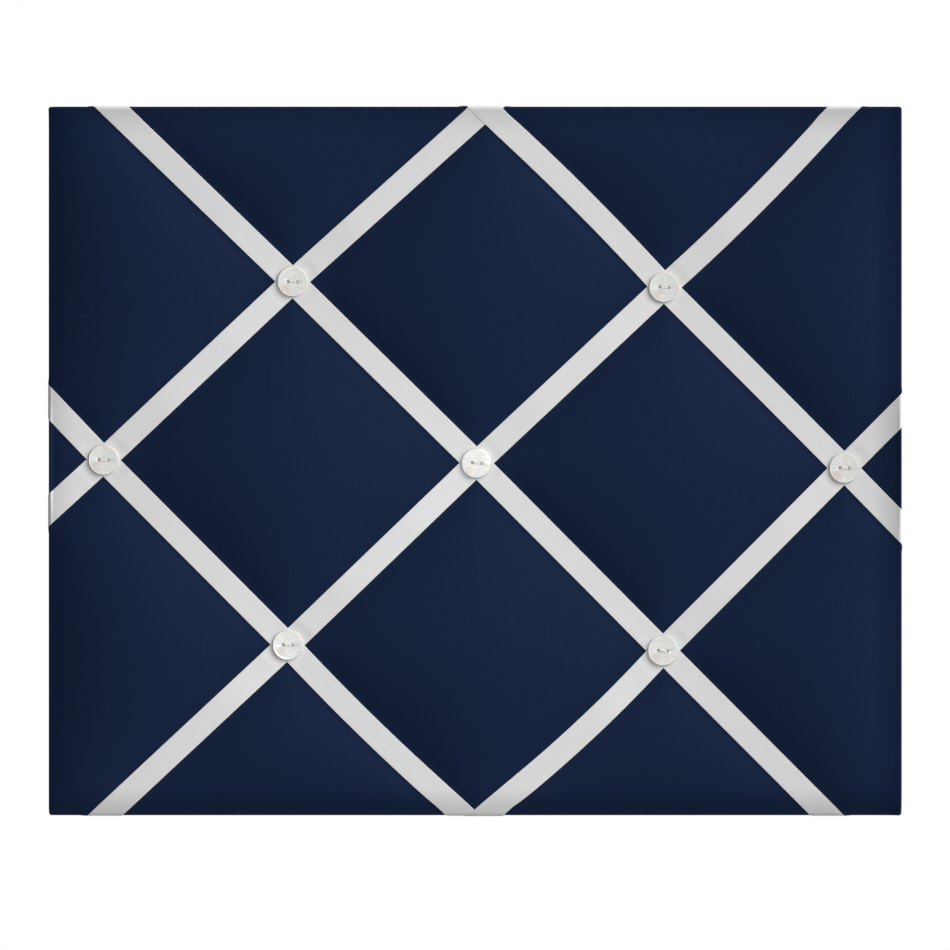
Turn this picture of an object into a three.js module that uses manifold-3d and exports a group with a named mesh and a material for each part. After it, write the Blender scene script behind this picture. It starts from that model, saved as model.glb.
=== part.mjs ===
// French memo board: a padded cloth board crossed by a lattice of ribbons, with a sewn button
// at each crossing, so that photos and notes tuck in behind the ribbons.
// Millimetres. X runs along the board, Z is up and the front faces -Y. The origin is the
// middle of the rear face of the backing sheet, which lies against the wall.
import * as THREE from 'three';
import { mergeGeometries, mergeVertices } from 'three/addons/utils/BufferGeometryUtils.js';
import Module from 'manifold-3d';

const wasm = await Module();
wasm.setup();

// Board and its layers
const boardWidth = 420;
const boardHeight = 349;
const cornerRadius = 3;
const arrisRadius = 5;            // rounding where the padded front turns into the sides
const coreThickness = 9;          // fibreboard
const coverThickness = 0.6;       // cotton
const padFloor = 5.5;             // wadding left under a ribbon
const padLoft = 4.5;              // how far the middle of a pocket swells above its ribbons
const tuftDepth = 3;              // how far a button draws the ribbons in
const hemWidth = 20;              // cover turned on to the back of the core
const seatGap = 0.3;              // clearance between pieces that touch

// Pillow form
const swellReach = 26;            // distance over which a pocket rises away from a ribbon
const edgeReach = 20;             // the same, away from the edge of the board
const tuftReach = 13;             // distance over which a button's dimple fades
const broadRings = [0.3, 0.65];   // where the rings of a broad pocket lie, from rim to middle
const narrowRings = [0.45];       // the same for the pockets along the edge
const broadPocket = 20;           // a pocket with more rim points than this is a broad one
const pocketSpokes = 8;
const borderStep = 62;            // longest facet along the edge of the front

// Ribbons
const ribbonWidth = 12;
const ribbonThickness = 0.5;
const tuftSteps = [7, 18];        // rows close to a button
const sideSlant = 0.5;            // the ribbon eases towards square on the side of the board
const tailSpread = 0.8;           // slant that parts the tails of two ribbons crossing at the edge
const tailEase = 8;               // length of tail over which such a ribbon stays lifted
const tailLength = 38;
const tailStapleSet = 30;         // from the edge of the board to the staple in a tail

// Lattice
const sideButtonInset = 27.5;     // from the side of the board to the outermost buttons
const crossingPastEdge = 4.5;     // the top and bottom crossings fall just past the edge

// Buttons and the thread that sews them on
const buttonRadius = 7.5;
const buttonThickness = 3;
const buttonRimWidth = 2;
const buttonDish = 0.8;
const buttonBackRise = 0.6;
const buttonFacets = 18;
const holeSpacing = 4.3;
const holeTurn = 4;               // degrees, the right hole of each pair sits a little low
const threadDiameter = 0.9;
const threadBend = 0.8;
const threadTail = 14;
const threadStapleDrop = 9;
const threadBore = 7;             // hole drilled through the core at each button

// Staples
const wireThickness = 0.6;
const wireWidth = 1.2;
const stapleCrown = 10;
const stapleLeg = 8;
const hemStapleSet = 12;          // from the edge of the board to a staple in the hem
const hemStapleInset = 105;       // from the corner of the board along the edge

// Backing sheet and hangers
const backingThickness = 1.2;
const backingInset = 10;
const backingCorner = 6;
const hangerInset = 80;           // from the side of the board to the middle of each hanger
const hangerDrop = 60;            // from the top of the board to the bar of a ring
const strapWidth = 11;
const strapThickness = 0.8;
const strapLength = 26;
const strapScrewInset = 6;        // from the end of the strap to the screw
const ringWire = 2.2;
const ringHalfWidth = 9.5;
const ringCorner = 2;
const ringStraight = 3.5;
const ringSplit = 0.5;            // gap where the ends of the ring's wire meet
const screwHeadRadius = 3.2;
const screwHeadHeight = 1.8;
const screwDiameter = 3;
const screwDepth = 6;             // thread in the core
const screwRecess = 0.9;          // width and depth of the cross in the head

// Depths, worked out from the wall towards the viewer
const tuckRoom = coverThickness + ribbonThickness + wireThickness + 4 * seatGap;
const backingFront = -backingThickness;
const coreBack = backingFront - tuckRoom;
const coreFront = coreBack - coreThickness;
const padBack = coreFront - seatGap;
const coverFloor = padBack - padFloor - seatGap - coverThickness;
const hemOuter = coreBack + seatGap + coverThickness;
const crossingLift = ribbonThickness + seatGap;
const ribbonTop = seatGap + ribbonThickness;
const halfWidth = boardWidth / 2;
const halfHeight = boardHeight / 2;
const ribbonHalf = ribbonWidth / 2;
const smallCorner = 0.4;
const arrisSteps = 3;
const cutMargin = 1;              // cutters run this far past the faces they cut
const needleFacets = 4;
const holeFacets = 8;
const boreFacets = 10;
const threadFacets = 6;
const ringFacets = 8;
const screwFacets = 12;
const strapFacets = 12;           // on each bend of a strap
const sheetCornerFacets = 4;
const sameSpot = 1e-4;            // corners closer than this are one

// Materials
const makeMaterial = (color, roughness, metalness) =>
  new THREE.MeshStandardMaterial({ color, roughness, metalness });
const navyCotton = makeMaterial(0x17223c, 0.85, 0);
const whiteRibbon = makeMaterial(0xd8d8d8, 0.6, 0);
const pearlShell = makeMaterial(0xdad8d4, 0.3, 0);
const whiteThread = makeMaterial(0xd9d4cc, 0.8, 0);
const polyesterWadding = makeMaterial(0xeceae4, 0.95, 0);
const fibreboard = makeMaterial(0x9a7b56, 0.9, 0);
const blackFelt = makeMaterial(0x1c1c1f, 0.95, 0);
const zincSteel = makeMaterial(0xb9bcc0, 0.35, 1);

const board = new THREE.Group();

function addPiece(name, geometry, material, place = [0, 0, 0], turn = [0, 0, 0]) {
  const mesh = new THREE.Mesh(geometry, material);
  mesh.name = name;
  mesh.position.set(...place);
  mesh.rotation.set(...turn);
  board.add(mesh);
}

// Closed meshes: shared corners are merged, and the faces are turned outwards
function closedMesh(geometry) {
  const bare = new THREE.BufferGeometry();
  bare.setAttribute('position', geometry.attributes.position);
  if (geometry.index) bare.setIndex(geometry.index);
  const merged = mergeVertices(bare, sameSpot);
  const place = merged.attributes.position;
  const corners = [...merged.index.array];
  const kept = [];
  let volume = 0;
  const [a, b, c] = [new THREE.Vector3(), new THREE.Vector3(), new THREE.Vector3()];
  for (let i = 0; i < corners.length; i += 3) {
    const [p, q, r] = corners.slice(i, i + 3);
    if (p === q || q === r || r === p) continue;
    kept.push(p, q, r);
    a.fromBufferAttribute(place, p);
    b.fromBufferAttribute(place, q);
    c.fromBufferAttribute(place, r);
    volume += a.dot(b.cross(c));
  }
  if (volume < 0) kept.reverse();
  merged.setIndex(kept);
  return merged;
}

function meshFrom(points, triangles) {
  const geometry = new THREE.BufferGeometry();
  geometry.setAttribute('position', new THREE.Float32BufferAttribute(points.flat(), 3));
  geometry.setIndex(triangles.flat());
  return closedMesh(geometry);
}

function solidFrom(geometry) {
  const closed = closedMesh(geometry);
  return new wasm.Manifold(new wasm.Mesh({
    numProp: 3,
    vertProperties: new Float32Array(closed.attributes.position.array),
    triVerts: new Uint32Array(closed.index.array),
  }));
}

function cutAway(geometry, cutters) {
  let solid = solidFrom(geometry);
  for (const cutter of cutters) solid = solid.subtract(solidFrom(cutter));
  const result = solid.getMesh();
  const cut = new THREE.BufferGeometry();
  cut.setAttribute('position', new THREE.Float32BufferAttribute(result.vertProperties, 3));
  cut.setIndex([...result.triVerts]);
  return cut;
}

// A round bar along Y from one depth to another
function barAlongY(x, z, radius, fromY, toY, sides) {
  const bar = new THREE.CylinderGeometry(radius, radius, Math.abs(toY - fromY), sides);
  return bar.translate(x, (fromY + toY) / 2, z);
}

// Wire paths run straight from point to point, so each section lands on a point
class WirePath extends THREE.Curve {
  constructor(points) {
    super();
    this.points = points.map((point) => new THREE.Vector3(...point));
  }

  getPoint(t, target = new THREE.Vector3()) {
    const last = this.points.length - 1;
    const step = Math.min(Math.floor(t * last), last - 1);
    return target.lerpVectors(this.points[step], this.points[step + 1], t * last - step);
  }

  getUtoTmapping(u) {
    return u;
  }

  getTangent(t, target = new THREE.Vector3()) {
    const last = this.points.length - 1;
    const near = Math.round(t * last);
    const before = this.points[Math.max(near - 1, 0)];
    const here = this.points[near];
    const after = this.points[Math.min(near + 1, last)];
    const inwards = new THREE.Vector3().subVectors(here, before).normalize();
    target.subVectors(after, here).normalize().add(inwards);
    return target.normalize();
  }
}

function wireAlong(points, radius, sides) {
  const section = new THREE.Shape();
  for (let i = 0; i < sides; i += 1) {
    const angle = (2 * Math.PI * i) / sides;
    const [x, y] = [radius * Math.cos(angle), radius * Math.sin(angle)];
    if (i === 0) section.moveTo(x, y);
    else section.lineTo(x, y);
  }
  section.closePath();
  const extrudePath = new WirePath(points);
  return closedMesh(new THREE.ExtrudeGeometry(section, { extrudePath, steps: points.length - 1 }));
}

// Lattice of buttons: even pitches, with each button sewn a little off its true place
const pitchX = halfWidth - sideButtonInset;
const pitchZ = halfHeight + crossingPastEdge;
const buttonPlan = {
  left: { column: -1, row: 0, nudge: [-0.4, 0.6] },
  upper_left: { column: -0.5, row: 0.5, nudge: [1.4, -1.1] },
  lower_left: { column: -0.5, row: -0.5, nudge: [-1, -1] },
  centre: { column: 0, row: 0, nudge: [0.8, -0.9] },
  upper_right: { column: 0.5, row: 0.5, nudge: [1.9, -3.8] },
  lower_right: { column: 0.5, row: -0.5, nudge: [1.3, -3.8] },
  right: { column: 1, row: 0, nudge: [-0.6, -3.4] },
};
const buttonNames = Object.keys(buttonPlan);
const buttonAt = {};
for (const [name, plan] of Object.entries(buttonPlan)) {
  buttonAt[name] = new THREE.Vector2(
    plan.column * pitchX + plan.nudge[0],
    plan.row * pitchZ + plan.nudge[1],
  );
}

// Ribbons: the edge each end wraps over, the buttons between, how far the end lands off the
// line of the lattice, and how far the last stretch bows to the left of its run
const ribbonPlan = {
  ribbon_lower_left: {
    start: { edge: 'left', nudge: 1.9, bow: 0 },
    buttons: ['left', 'lower_left'],
    finish: { edge: 'bottom', nudge: 0.7, bow: -1.4 },
  },
  ribbon_falling: {
    start: { edge: 'top', nudge: -1.3, bow: 0 },
    buttons: ['upper_left', 'centre', 'lower_right'],
    finish: { edge: 'bottom', nudge: -1.9, bow: 0 },
  },
  ribbon_upper_right: {
    start: { edge: 'top', nudge: 1.8, bow: 1.4 },
    buttons: ['upper_right', 'right'],
    finish: { edge: 'right', nudge: -1.5, bow: 0 },
  },
  ribbon_upper_left: {
    start: { edge: 'left', nudge: 1.8, bow: 0 },
    buttons: ['left', 'upper_left'],
    finish: { edge: 'top', nudge: 7.9, bow: 0 },
  },
  ribbon_rising: {
    start: { edge: 'bottom', nudge: -4.4, bow: 0 },
    buttons: ['lower_left', 'centre', 'upper_right'],
    finish: { edge: 'top', nudge: -1.7, bow: -1.7 },
  },
  ribbon_lower_right: {
    start: { edge: 'bottom', nudge: -4.4, bow: -2.3 },
    buttons: ['lower_right', 'right'],
    finish: { edge: 'right', nudge: 0.9, bow: 0 },
  },
};

// Which ribbon lies on top at each button, and where two ribbons cross at the edge
const ribbonOnTop = {
  left: 'ribbon_upper_left',
  upper_left: 'ribbon_upper_left',
  lower_left: 'ribbon_lower_left',
  centre: 'ribbon_rising',
  upper_right: 'ribbon_upper_right',
  lower_right: 'ribbon_lower_right',
  right: 'ribbon_lower_right',
};
const edgeCrossings = [
  { edge: 'top', upper: 'ribbon_upper_right', lower: 'ribbon_upper_left' },
  { edge: 'bottom', upper: 'ribbon_lower_right', lower: 'ribbon_lower_left' },
];

// The four edges: outward direction, and the direction along the edge
const edges = {
  bottom: { out: new THREE.Vector2(0, -1), along: new THREE.Vector2(1, 0), reach: halfHeight },
  right: { out: new THREE.Vector2(1, 0), along: new THREE.Vector2(0, 1), reach: halfWidth },
  top: { out: new THREE.Vector2(0, 1), along: new THREE.Vector2(1, 0), reach: halfHeight },
  left: { out: new THREE.Vector2(-1, 0), along: new THREE.Vector2(0, 1), reach: halfWidth },
};

function onEdge(edgeName, place, inset) {
  const edge = edges[edgeName];
  return edge.out.clone().multiplyScalar(edge.reach - inset).addScaledVector(edge.along, place);
}

// Plan of the front: points shared by the cover, the wadding and the ribbons
const planPoints = [];
const planTriangles = [];

function addPoint(point) {
  planPoints.push(point.clone());
  return planPoints.length - 1;
}

// Triangles run anticlockwise as the viewer in front of the board sees them
function addTriangle(a, b, c) {
  planTriangles.push([a, b, c]);
}

const leftOf = (direction) => new THREE.Vector2(-direction.y, direction.x);
const between = (a, b, share) => a.clone().lerp(b, share);

function meetingOfLines(pointA, directionA, pointB, directionB) {
  const offset = pointB.clone().sub(pointA);
  const share = offset.cross(directionB) / directionA.cross(directionB);
  return pointA.clone().addScaledVector(directionA, share);
}

// Where a ribbon's end reaches the board's edge: it carries on along the lattice, plus its nudge
function landEnd(end, buttonName, ribbonSlopeSign) {
  const edge = edges[end.edge];
  const button = buttonAt[buttonName];
  const drop = edge.reach - button.dot(edge.out);
  const latticeSlope = edge.along.x ? pitchX / pitchZ : pitchZ / pitchX;
  const outSign = edge.along.x ? edge.out.y : edge.out.x;
  const run = drop * latticeSlope * ribbonSlopeSign * outSign + end.nudge;
  const slope = run / drop;
  const place = button.dot(edge.along) + run;
  return { ...end, slope, spread: 0, borderPlace: place - slope * arrisRadius };
}

const ribbons = {};
for (const [name, plan] of Object.entries(ribbonPlan)) {
  const first = buttonAt[plan.buttons[0]];
  const last = buttonAt[plan.buttons[plan.buttons.length - 1]];
  const slopeSign = Math.sign((last.y - first.y) * (last.x - first.x));
  const start = landEnd(plan.start, plan.buttons[0], slopeSign);
  const finish = landEnd(plan.finish, plan.buttons[plan.buttons.length - 1], slopeSign);
  const stops = [
    onEdge(start.edge, start.borderPlace, arrisRadius),
    ...plan.buttons.map((button) => buttonAt[button]),
    onEdge(finish.edge, finish.borderPlace, arrisRadius),
  ];
  ribbons[name] = { name, plan, start, finish, stops };
}

// Direction of a ribbon where it passes a button
function headingAt(ribbon, buttonName) {
  const at = ribbon.plan.buttons.indexOf(buttonName) + 1;
  const inwards = ribbon.stops[at].clone().sub(ribbon.stops[at - 1]).normalize();
  const onwards = ribbon.stops[at + 1].clone().sub(ribbon.stops[at]).normalize();
  return inwards.add(onwards).normalize();
}

// Corners of the square where two ribbons cross under a button
const crossings = {};
for (const buttonName of buttonNames) {
  const pair = Object.values(ribbons).filter((ribbon) => ribbon.plan.buttons.includes(buttonName));
  const headings = pair.map((ribbon) => headingAt(ribbon, buttonName));
  const corners = {};
  for (const first of [-1, 1]) {
    for (const second of [-1, 1]) {
      const firstSide = leftOf(headings[0]).multiplyScalar(first * ribbonHalf);
      const secondSide = leftOf(headings[1]).multiplyScalar(second * ribbonHalf);
      const corner = meetingOfLines(
        buttonAt[buttonName].clone().add(firstSide),
        headings[0],
        buttonAt[buttonName].clone().add(secondSide),
        headings[1],
      );
      corners[`${first},${second}`] = addPoint(corner);
    }
  }
  crossings[buttonName] = { pair, headings, corners };
  const square = ['-1,-1', '1,-1', '1,1', '-1,1'].map((key) => corners[key]);
  if (headings[0].cross(headings[1]) < 0) square.reverse();
  addTriangle(square[0], square[1], square[2]);
  addTriangle(square[0], square[2], square[3]);
}

// The two rows of a ribbon at a crossing, in the order in which the ribbon meets them
function rowsAtCrossing(ribbon, buttonName) {
  const { pair, headings, corners } = crossings[buttonName];
  const own = pair.indexOf(ribbon);
  const other = 1 - own;
  const entrySign = -Math.sign(headings[own].dot(leftOf(headings[other])));
  const lift = ribbonOnTop[buttonName] === ribbon.name ? crossingLift : 0;
  const corner = (ownSide, otherSide) =>
    corners[own === 0 ? `${ownSide},${otherSide}` : `${otherSide},${ownSide}`];
  return [entrySign, -entrySign].map((side) => ({
    left: corner(1, side),
    right: corner(-1, side),
    lift,
  }));
}

// The row where a ribbon reaches the rounded edge lies along that edge
function rowAtBorder(end, isFinish) {
  const edge = edges[end.edge];
  const half = ribbonHalf * Math.hypot(1, end.slope);
  const outwards = edge.out.clone().addScaledVector(edge.along, end.slope);
  const heading = isFinish ? outwards : outwards.negate();
  const leftSign = Math.sign(leftOf(heading).dot(edge.along));
  const place = (sign) => onEdge(end.edge, end.borderPlace + sign * half, arrisRadius);
  return {
    left: addPoint(place(leftSign)),
    right: addPoint(place(-leftSign)),
    lift: 0,
    leftSign,
  };
}

// Rows along one stretch of ribbon between two known rows. Rows close to a button stay in the
// stretch's own end, and a long stretch that meets the edge has two more, evenly spaced.
const ownEnd = 0.4;
const longStretch = 3 * tuftSteps[tuftSteps.length - 1];

function fillRows(from, to, bow, closeToStart, closeToFinish) {
  const [l0, r0] = [planPoints[from.left], planPoints[from.right]];
  const [l1, r1] = [planPoints[to.left], planPoints[to.right]];
  const length = between(l0, r0, 0.5).distanceTo(between(l1, r1, 0.5));
  const steps = tuftSteps.filter((step) => step < ownEnd * length).map((step) => step / length);
  const shares = [];
  if (closeToStart) shares.push(...steps);
  if (closeToStart && closeToFinish) {
    shares.push(0.5);
  } else if (length > longStretch) {
    const clear = 1 - steps[steps.length - 1];
    const spread = [clear / 3, (2 * clear) / 3];
    if (closeToStart) shares.push(...spread.map((share) => 1 - clear + share));
    else shares.push(...spread);
  }
  if (closeToFinish) shares.push(...steps.map((share) => 1 - share).reverse());
  const sideways = leftOf(between(l1, r1, 0.5).sub(between(l0, r0, 0.5)).normalize());
  return shares.map((share) => {
    const sag = sideways.clone().multiplyScalar(4 * share * (1 - share) * bow);
    return {
      left: addPoint(between(l0, l1, share).add(sag)),
      right: addPoint(between(r0, r1, share).add(sag)),
      lift: 0,
    };
  });
}

for (const ribbon of Object.values(ribbons)) {
  const { buttons } = ribbon.plan;
  ribbon.startRow = rowAtBorder(ribbon.start, false);
  ribbon.finishRow = rowAtBorder(ribbon.finish, true);
  const stretches = [];
  let from = ribbon.startRow;
  buttons.forEach((button, at) => {
    const [entry, exit] = rowsAtCrossing(ribbon, button);
    const bow = at === 0 ? ribbon.start.bow : 0;
    stretches.push([from, ...fillRows(from, entry, bow, at > 0, true), entry]);
    from = exit;
  });
  stretches.push([from, ...fillRows(from, ribbon.finishRow, ribbon.finish.bow, true, false),
    ribbon.finishRow]);
  ribbon.stretches = stretches;
}

// Two ribbons that cross at the edge. The upper one is lifted over the lower one from where
// their inner sides meet, which may be short of the rounded edge or on it.
const hiddenPoints = new Set();

function endAtEdge(ribbon, edgeName) {
  const atFinish = ribbon.finish.edge === edgeName;
  const end = atFinish ? ribbon.finish : ribbon.start;
  const stretch = ribbon.stretches[atFinish ? ribbon.stretches.length - 1 : 0];
  const borderRow = atFinish ? ribbon.finishRow : ribbon.startRow;
  const lastRow = atFinish ? stretch[stretch.length - 2] : stretch[1];
  const outwards = (side) => planPoints[lastRow[side]].dot(edges[edgeName].out);
  const [inner, outer] = outwards('left') < outwards('right') ? ['left', 'right'] : ['right', 'left'];
  const insertAt = atFinish ? stretch.length - 1 : 1;
  return { end, stretch, borderRow, lastRow, inner, outer, insertAt };
}

function innerSide({ borderRow, lastRow, inner }) {
  const from = planPoints[lastRow[inner]];
  return [from, planPoints[borderRow[inner]].clone().sub(from)];
}

for (const crossing of edgeCrossings) {
  const upper = endAtEdge(ribbons[crossing.upper], crossing.edge);
  const lower = endAtEdge(ribbons[crossing.lower], crossing.edge);
  upper.borderRow.lift = crossingLift;
  upper.end.spread = tailSpread;
  lower.end.spread = tailSpread;
  const meeting = meetingOfLines(...innerSide(upper), ...innerSide(lower));
  const { out, reach } = edges[crossing.edge];
  if (reach - meeting.dot(out) < arrisRadius + smallCorner) continue;
  const meetingPoint = addPoint(meeting);
  for (const side of [upper, lower]) {
    const { stretch, borderRow, lastRow, inner, outer, insertAt } = side;
    const span = planPoints[borderRow[inner]].distanceTo(planPoints[lastRow[inner]]);
    const share = meeting.distanceTo(planPoints[lastRow[inner]]) / span;
    const outerPoint = between(planPoints[lastRow[outer]], planPoints[borderRow[outer]], share);
    const lift = side === upper ? crossingLift : 0;
    side.row = { [inner]: meetingPoint, [outer]: addPoint(outerPoint), lift };
    borderRow.covered = true;
    hiddenPoints.add(borderRow[inner]);
    stretch.splice(insertAt, 0, side.row);
  }
  const rim = [upper, lower].flatMap(({ row, borderRow, outer }) => [row[outer], borderRow[outer]]);
  const [upperRow, upperEnd, lowerRow, lowerEnd] = rim;
  const anticlockwise = planPoints[upperEnd].x > planPoints[lowerEnd].x === out.y > 0;
  const fan = [upperRow, upperEnd, lowerEnd, lowerRow];
  if (!anticlockwise) fan.reverse();
  for (let i = 0; i < 3; i += 1) addTriangle(meetingPoint, fan[i], fan[i + 1]);
}

// Strips of the front under the ribbons, and the two sides of each stretch as pocket rims
const rims = [];
for (const ribbon of Object.values(ribbons)) {
  for (const stretch of ribbon.stretches) {
    for (let i = 0; i + 1 < stretch.length; i += 1) {
      const [from, to] = [stretch[i], stretch[i + 1]];
      if (from.covered || to.covered) continue;
      addTriangle(from.left, from.right, to.right);
      addTriangle(from.left, to.right, to.left);
    }
    for (const side of ['left', 'right']) {
      rims.push(stretch.map((row) => row[side]).filter((point) => !hiddenPoints.has(point)));
    }
  }
}

// Border of the front, anticlockwise from the lower left corner. A station counts the corners
// passed, so that loops with different numbers of points can be joined.
const sideStation = 10;
const cornerSteps = 2;

function cornerRing(inset) {
  const radius = Math.max(cornerRadius - inset, smallCorner);
  const [x, z] = [halfWidth - inset - radius, halfHeight - inset - radius];
  const centres = [[-x, -z], [x, -z], [x, z], [-x, z]];
  const ring = [];
  centres.forEach(([cx, cz], corner) => {
    for (let step = 0; step <= cornerSteps; step += 1) {
      const angle = Math.PI + (corner + step / cornerSteps) * (Math.PI / 2);
      const point = new THREE.Vector2(cx + radius * Math.cos(angle), cz + radius * Math.sin(angle));
      ring.push({ point, station: corner * sideStation + step });
    }
  });
  return ring;
}

const border = cornerRing(arrisRadius).map(({ point, station }) => ({
  index: addPoint(point),
  station,
}));
['bottom', 'right', 'top', 'left'].forEach((edgeName, corner) => {
  const { along } = edges[edgeName];
  const corners = border.slice(0, 4 * (cornerSteps + 1));
  const from = planPoints[corners[corner * (cornerSteps + 1) + cornerSteps].index];
  const to = planPoints[corners[((corner + 1) % 4) * (cornerSteps + 1)].index];
  const length = to.clone().sub(from).dot(along);
  const stationOf = (index) => {
    const share = planPoints[index].clone().sub(from).dot(along) / length;
    return corner * sideStation + cornerSteps + share * (sideStation - cornerSteps);
  };
  for (const ribbon of Object.values(ribbons)) {
    for (const [end, row] of [[ribbon.start, ribbon.startRow], [ribbon.finish, ribbon.finishRow]]) {
      if (end.edge !== edgeName) continue;
      for (const index of [row.left, row.right]) {
        if (hiddenPoints.has(index)) continue;
        border.push({ index, station: stationOf(index), ribbonEnd: row.covered ? edgeName : row });
      }
    }
  }
});
border.sort((a, b) => a.station - b.station);

// Along the border, every stretch that no ribbon covers is the rim of a pocket
const borderLoop = [];
const fullTurn = 4 * sideStation;
border.forEach((item, at) => {
  borderLoop.push(item);
  const next = border[(at + 1) % border.length];
  if (item.ribbonEnd && item.ribbonEnd === next.ribbonEnd) return;
  const [from, to] = [planPoints[item.index], planPoints[next.index]];
  const nextStation = next.station > item.station ? next.station : next.station + fullTurn;
  const pieces = Math.ceil(from.distanceTo(to) / borderStep);
  const rim = [item.index];
  for (let i = 1; i < pieces; i += 1) {
    const index = addPoint(between(from, to, i / pieces));
    const station = item.station + ((nextStation - item.station) * i) / pieces;
    borderLoop.push({ index, station });
    rim.push(index);
  }
  rims.push([...rim, next.index]);
});

// Triangles between two closed loops of points, walking round both by their stations
function bridgeLoops(outer, inner, total, emit) {
  const stationAt = (loop, at) => loop[at % loop.length].station + (at < loop.length ? 0 : total);
  const indexAt = (loop, at) => loop[at % loop.length].index;
  let [i, j] = [0, 0];
  while (i < outer.length || j < inner.length) {
    const outerFirst = stationAt(outer, i + 1) <= stationAt(inner, j + 1);
    if (j >= inner.length || (i < outer.length && outerFirst)) {
      emit(indexAt(outer, i), indexAt(inner, j), indexAt(outer, i + 1));
      i += 1;
    } else {
      emit(indexAt(outer, i), indexAt(inner, j), indexAt(inner, j + 1));
      j += 1;
    }
  }
}

// Pockets: rims are chained end to end into closed loops, then filled with rings
const rimsAtPoint = new Map();
for (const rim of rims) {
  for (const point of [rim[0], rim[rim.length - 1]]) {
    rimsAtPoint.set(point, [...(rimsAtPoint.get(point) ?? []), rim]);
  }
}

function chainPocket(firstRim, unused) {
  const loop = [...firstRim];
  unused.delete(firstRim);
  while (loop[0] !== loop[loop.length - 1]) {
    const tip = loop[loop.length - 1];
    const next = rimsAtPoint.get(tip).find((rim) => unused.has(rim));
    unused.delete(next);
    loop.push(...(next[0] === tip ? next : [...next].reverse()).slice(1));
  }
  loop.pop();
  return loop;
}

function sumRound(loop, add) {
  loop.forEach((index, at) => add(planPoints[index], planPoints[loop[(at + 1) % loop.length]]));
}

function middleOf(loop) {
  const middle = new THREE.Vector2();
  let area = 0;
  sumRound(loop, (p, q) => {
    area += p.cross(q);
    middle.addScaledVector(p.clone().add(q), p.cross(q));
  });
  if (area < 0) loop.reverse();
  return middle.divideScalar(3 * area);
}

function fillPocket(loop) {
  const middle = middleOf(loop);
  let outer = loop.map((index, station) => ({ index, station }));
  const skip = Math.ceil(loop.length / pocketSpokes);
  const spokes = outer.filter(({ station }) => station % skip === 0);
  for (const share of loop.length > broadPocket ? broadRings : narrowRings) {
    const ring = spokes.map(({ index, station }) => ({
      index: addPoint(between(planPoints[index], middle, share)),
      station,
    }));
    bridgeLoops(ring, outer, loop.length, addTriangle);
    outer = ring;
  }
  const middlePoint = addPoint(middle);
  outer.forEach(({ index }, at) => {
    addTriangle(index, outer[(at + 1) % outer.length].index, middlePoint);
  });
}

const unusedRims = new Set(rims);
for (const rim of rims) {
  if (unusedRims.has(rim)) fillPocket(chainPocket(rim, unusedRims));
}

// Form of the padded front: pockets swell between the ribbons, and each button draws in a dimple
const flatMargin = 0.5;
const tuftFlat = Math.max(ribbonHalf * Math.SQRT2, buttonRadius) + flatMargin;
const centreLines = Object.values(ribbons).map((ribbon) => ribbon.stretches.flat().map(
  (row) => between(planPoints[row.left], planPoints[row.right], 0.5),
));

function distanceToLine(point, line) {
  let nearest = Infinity;
  for (let i = 0; i + 1 < line.length; i += 1) {
    const span = line[i + 1].clone().sub(line[i]);
    const share = point.clone().sub(line[i]).dot(span) / Math.max(span.lengthSq(), Number.EPSILON);
    const foot = line[i].clone().addScaledVector(span, THREE.MathUtils.clamp(share, 0, 1));
    nearest = Math.min(nearest, foot.distanceTo(point));
  }
  return nearest;
}

const swell = (distance, reach) => 1 - Math.exp(-((Math.max(distance, 0) / reach) ** 2));

function standOut(point) {
  const inset = Math.min(halfWidth - Math.abs(point.x), halfHeight - Math.abs(point.y));
  let rise = swell(inset - arrisRadius, edgeReach);
  for (const line of centreLines) {
    rise *= swell(distanceToLine(point, line) - ribbonHalf, swellReach);
  }
  let tuft = 0;
  for (const button of Object.values(buttonAt)) {
    const away = Math.max(button.distanceTo(point) - tuftFlat, 0) / tuftReach;
    if (away < 1) tuft = Math.max(tuft, (1 - away ** 2) ** 2);
  }
  return padLoft * rise - tuftDepth * tuft;
}

const standOuts = planPoints.map(standOut);
const onFront = (index, offset) =>
  [planPoints[index].x, coverFloor - standOuts[index] - offset, planPoints[index].y];

// Rows over the rounded edge, offset outwards from the face of the cover
const arrisRows = Array.from({ length: arrisSteps }, (unused, i) => i + 1);

function arrisRow(step, offset) {
  const angle = (Math.PI / 2) * (step / arrisSteps);
  return {
    inset: arrisRadius - (arrisRadius + offset) * Math.sin(angle),
    depth: coverFloor + arrisRadius - (arrisRadius + offset) * Math.cos(angle),
  };
}

const backCorner = (offset) => ({ inset: -offset, depth: hemOuter + offset });
const onHem = (inset, offset) => ({ inset, depth: hemOuter + offset });

// A skin over the front, and rings of points that carry it over the edge and round the back
function addFront(mesh, offset, facesOut) {
  const base = mesh.points.length;
  planPoints.forEach((point, index) => mesh.points.push(onFront(index, offset)));
  for (const [a, b, c] of planTriangles) {
    mesh.triangles.push(facesOut ? [base + a, base + b, base + c] : [base + a, base + c, base + b]);
  }
  return borderLoop.map(({ index, station }) => ({ index: base + index, station }));
}

function addRing(mesh, { inset, depth }) {
  return cornerRing(inset).map(({ point, station }) => {
    mesh.points.push([point.x, depth, point.y]);
    return { index: mesh.points.length - 1, station };
  });
}

function joinRings(mesh, rings) {
  for (let i = 0; i + 1 < rings.length; i += 1) {
    bridgeLoops(rings[i], rings[i + 1], fullTurn, (a, b, c) => mesh.triangles.push([a, b, c]));
  }
}

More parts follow.
